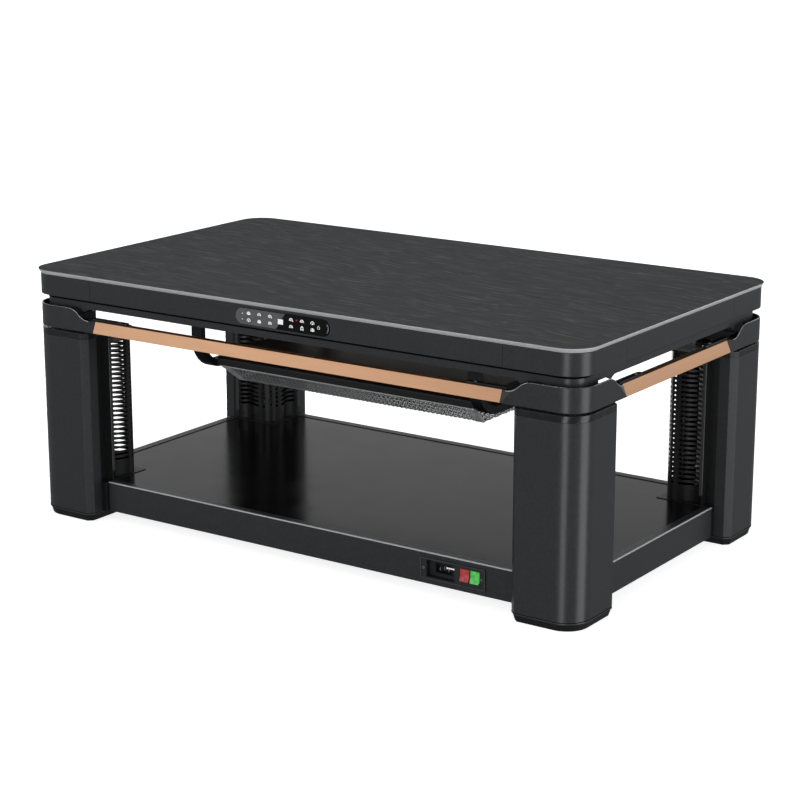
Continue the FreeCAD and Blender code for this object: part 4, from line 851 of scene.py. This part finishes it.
# A pale lip round the top of each foot, a painted highlight of the leg shell's bottom edge, under a dark
# joint below the leg's shell.
footLip = {
    "proud": 0.3,
    "jointProud": 0.12,
    "joint": 1.2,              # mm from the foot's top to the lip's
    "height": 2.8,
    "wall": 3,
    "bevel": 0.3,
    "gap": 0.05,               # mm from the foot's top to the joint's
    "legSide": 150,
    "bend": 53,
    "chamfer": 13,
    "cutTurn": 45,             # degrees that the outline turns at each end of a chamfer
}


def footOutline(inset):
    side, cut = footLip["legSide"], footLip["chamfer"]
    bend, slant = footLip["bend"], math.tan(math.radians(footLip["cutTurn"] / 2)) * inset
    near, far = inset, side - inset
    spots = turned(bend - inset, 180, 270, 12, (bend, bend))
    spots += [(side - cut - slant, near), (far, cut + slant), (far, side - cut - slant)]
    spots += [(side - cut - slant, far), (cut + slant, far), (near, side - cut - slant)]
    return spots


def makeFootHighlightsAndJoints():
    top = millimetres("leg_feet")[1][2]
    (left, front, _), _ = millimetres("collar_front_left")
    outer, inner = footOutline(-footLip["proud"]), footOutline(footLip["wall"])
    joint = footOutline(-footLip["jointProud"])
    high = top - footLip["joint"]
    for sideX, sideY, where in legs:
        def atLeg(a, b, level):
            return sideX * (-left - a), sideY * (-front - b), level

        mesh = bmesh.new()
        addRing(mesh, outer, inner, high - footLip["height"], high, atLeg)
        addPiece("footLipHighlight_" + where, mesh, beadAndHighlightCoat, "base", footLip["bevel"])
        mesh = bmesh.new()
        addRing(mesh, joint, inner, high, top - footLip["gap"], atLeg)
        addPiece("footJoint_" + where, mesh, jointRubberAndShade, "base")
    print("foot lips made")


makeFootHighlightsAndJoints()

# A pale bar along the top outer edge of the shelf's rails: a painted highlight of that edge.
shelfHighlight = {"radius": 2.0, "inset": 1.7, "drop": 1.5}


# Of each edge: its rail, its name, the axis that it runs along and the side of the table.
shelfRails = (
    ("shelf_front", "front", 0, -1),
    ("shelf_back", "back", 0, 1),
    ("shelf_sides", "left", 1, -1),
    ("shelf_sides", "right", 1, 1),
)


def makeShelfHighlights():
    for node, where, along, side in shelfRails:
        low, high = millimetres(node)
        across = 1 - along
        face = max(abs(low[across]), abs(high[across])) - shelfHighlight["inset"]
        spots = []
        for end in (low[along], high[along]):
            spot = [0, 0, high[2] - shelfHighlight["drop"]]
            spot[along], spot[across] = end, side * face
            spots.append(spot)
        piece = addBar("shelfHighlight", where, spots, shelfHighlight["radius"], satinAluminiumAndHighlight)
        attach(piece, "base")
    print("shelf edges made")


makeShelfHighlights()

# What the switch plate carries: a raised rim, metal pins, a tag, and black crosses on the screws, painted
# shade of their recesses.
switchParts = {
    "rim": 2.2,
    "rimProud": 1.0,
    "rimSunk": -0.2,
    "rimBend": 3.5,
    "rimInnerBend": 2.0,
    "rimBevel": 0.35,
    "pinWidth": 2.3,
    "pinHeight": 6.3,
    "pinSpread": 10,
    "pinRise": 1.5,
    "pinOut": 8,
    "pinRoot": 3,
    "bevel": 0.3,
    "recess": -28,             # mm from the plate's middle to the recess's
    "tag": (6, 5.5, 19, 3),    # from the recess's middle: left, top, width, height
    "tagLevels": (-13.8, -12.6),
    "screwInset": 8,
    "cross": (3.6, 0.9),
    "crossLevels": (0.9, 1.06),
}


def makeSwitchParts():
    (left, face, low), (right, _, high) = millimetres("switch_plate")
    inlet = millimetres("power_inlet")
    midX, midZ = (left + right) / 2, (low + high) / 2
    look = switchParts

    def onPlate(a, b, level):
        return midX + a, face - level, midZ + b

    mesh = bmesh.new()
    halfX, halfZ = (right - left) / 2, (high - low) / 2
    outer = roundedBox(halfX, halfZ, look["rimBend"], 6)
    inner = roundedBox(halfX - look["rim"], halfZ - look["rim"], look["rimInnerBend"], 6)
    addRing(mesh, outer, inner, look["rimSunk"], look["rimProud"], onPlate)
    addPiece("switchRim", mesh, rimAbs, "base", look["rimBevel"])

    mesh = bmesh.new()
    back = inlet[1][1]
    for across, rise in ((-1, -1), (0, 1), (1, -1)):
        x = midX + look["recess"] + across * look["pinSpread"]
        z = midZ + rise * look["pinRise"]
        w, h = look["pinWidth"] / 2, look["pinHeight"] / 2

        def atPin(a, b, level):
            return x + a, back - level, z + b

        root = look["pinRoot"]
        addPrism(mesh, [(-w, -h), (w, -h), (w, h), (-w, h)], root, root + look["pinOut"], atPin)
    addPiece("inletPins", mesh, zincSteel, "base", look["bevel"])

    mesh = bmesh.new()
    a, b, wide, tall = look["tag"]
    a, b = look["recess"] + a, b - tall
    tag = [(a, b), (a + wide, b), (a + wide, b + tall), (a, b + tall)]
    addPrism(mesh, tag, *look["tagLevels"], onPlate)
    addPiece("recessTag", mesh, whiteInkPaintedGlow, "base", look["bevel"])

    # Black crosses on the screw heads: painted shade of the cross recesses.
    mesh = bmesh.new()
    reach, line = look["cross"]
    for side in (-1, 1):
        middle = side * (halfX - look["screwInset"])
        flat = [(middle - reach / 2, 0), (middle + reach / 2, 0)]
        tall = [(middle, -reach / 2), (middle, reach / 2)]
        for spots in (flat, tall):
            addPrism(mesh, stroked(spots, line), *look["crossLevels"], onPlate)
    addPiece("screwCrossShade", mesh, jointRubberAndShade, "base")
    print("switch parts made")


makeSwitchParts()


# A plain pale studio: a wide floor, a soft world and six softboxes, none of which the camera sees.
studio = {
    "floor": 60,                       # side of the floor
    "floorColour": "#e6e6e6",
    "nearGlow": 0.82,                  # what makes the floor white to the camera, near the table
    "farGlow": 1.0,                    # and farther off, where the lamps fade
    "glowFrom": 1,                     # m from the middle
    "glowTo": 3,
    "aimShare": 0.2,                   # of its own height, that a lamp aims at
    "sky": 0.8,                        # strength of the world
}
# What the finishes see of the room, from straight down to straight up.
room = [
    (0.0, "#8c8c8c"), (0.4, "#8f8f8f"), (0.5, "#f0f0f0"),
    (0.62, "#e6e6e6"), (0.75, "#6c6e70"), (1.0, "#505254"),
]
# The strips reach down past the floor's level, so that the legs show them along their height.
lamps = {
    "stripRight": {"place": (3.85, -0.1, 0.0), "size": 2.0, "height": 3.4, "power": 70},
    "stripFront": {"place": (1.4, -3.85, 0.0), "size": 1.2, "height": 3.4, "power": 48},
    "fillLeft": {"place": (-2.9, -3.7, 2.4), "size": 2.6, "height": 2.0, "power": 26},
    "rimRight": {"place": (2.8, 4.1, 1.7), "size": 2.2, "height": 1.2, "power": 9},
    "stripBack": {"place": (-3.5, 2.2, -0.8), "size": 1.0, "height": 1.2, "power": 40},
    "overhead": {"place": (-0.4, 0.3, 3.6), "size": 3.0, "height": 3.0, "power": 66},
}


def makeFloor():
    bpy.ops.mesh.primitive_plane_add(size=studio["floor"], location=(0, 0, 0))
    floor = bpy.context.object
    floor.name = "floor"
    material = bpy.data.materials.new("studioFloor")
    material.use_nodes = True
    tree = material.node_tree
    tree.nodes.clear()
    flat = addNode(tree, "ShaderNodeBsdfDiffuse", {"Color": linear(studio["floorColour"])})
    floor.visible_glossy = False
    where = addNode(tree, "ShaderNodeTexCoord").outputs["Object"]
    away = addNode(tree, "ShaderNodeVectorMath", {0: where}, operation="LENGTH").outputs["Value"]
    white = addNode(tree, "ShaderNodeMapRange", {
        "Value": away, "From Min": studio["glowFrom"], "From Max": studio["glowTo"],
        "To Min": studio["nearGlow"], "To Max": studio["farGlow"],
    })
    path = addNode(tree, "ShaderNodeLightPath")
    strength = addNode(tree, "ShaderNodeMath", {
        0: path.outputs["Is Camera Ray"], 1: white.outputs["Result"],
    }, operation="MULTIPLY")
    glow = addNode(tree, "ShaderNodeEmission", {"Strength": strength.outputs[0]})
    both = addNode(tree, "ShaderNodeAddShader", {0: flat.outputs[0], 1: glow.outputs[0]})
    addNode(tree, "ShaderNodeOutputMaterial", {"Surface": both.outputs[0]})
    floor.data.materials.append(material)


def makeWorld():
    world = bpy.data.worlds.new("studio")
    bpy.context.scene.world = world
    world.use_nodes = True
    tree = world.node_tree
    tree.nodes.clear()
    where = addNode(tree, "ShaderNodeTexCoord").outputs["Generated"]
    up = addNode(tree, "ShaderNodeSeparateXYZ", {"Vector": where}).outputs["Z"]
    height = addNode(tree, "ShaderNodeMapRange", {"Value": up, "From Min": -1, "From Max": 1})
    ramp = addNode(tree, "ShaderNodeValToRGB", {"Fac": height.outputs["Result"]}, room)
    sky = addNode(tree, "ShaderNodeBackground", {
        "Color": ramp.outputs["Color"], "Strength": studio["sky"],
    })
    plain = addNode(tree, "ShaderNodeBackground", {"Color": linear("#ffffff"), "Strength": 1})
    seen = addNode(tree, "ShaderNodeLightPath").outputs["Is Camera Ray"]
    both = addNode(tree, "ShaderNodeMixShader", {0: seen, 1: sky.outputs[0], 2: plain.outputs[0]})
    addNode(tree, "ShaderNodeOutputWorld", {"Surface": both.outputs[0]})


def makeLamps():
    for name, lamp in lamps.items():
        data = bpy.data.lights.new(name, "AREA")
        data.shape = "RECTANGLE"
        data.size = lamp["size"]
        data.size_y = lamp["height"]
        data.energy = lamp["power"]
        made = bpy.data.objects.new(name, data)
        made.location = lamp["place"]
        aim = Vector((0, 0, lamp["place"][2] * studio["aimShare"]))
        made.rotation_euler = (Vector(lamp["place"]) - aim).to_track_quat("Z", "Y").to_euler()
        made.visible_camera = False
        bpy.context.scene.collection.objects.link(made)


makeFloor()
makeWorld()
makeLamps()
print("studio made")
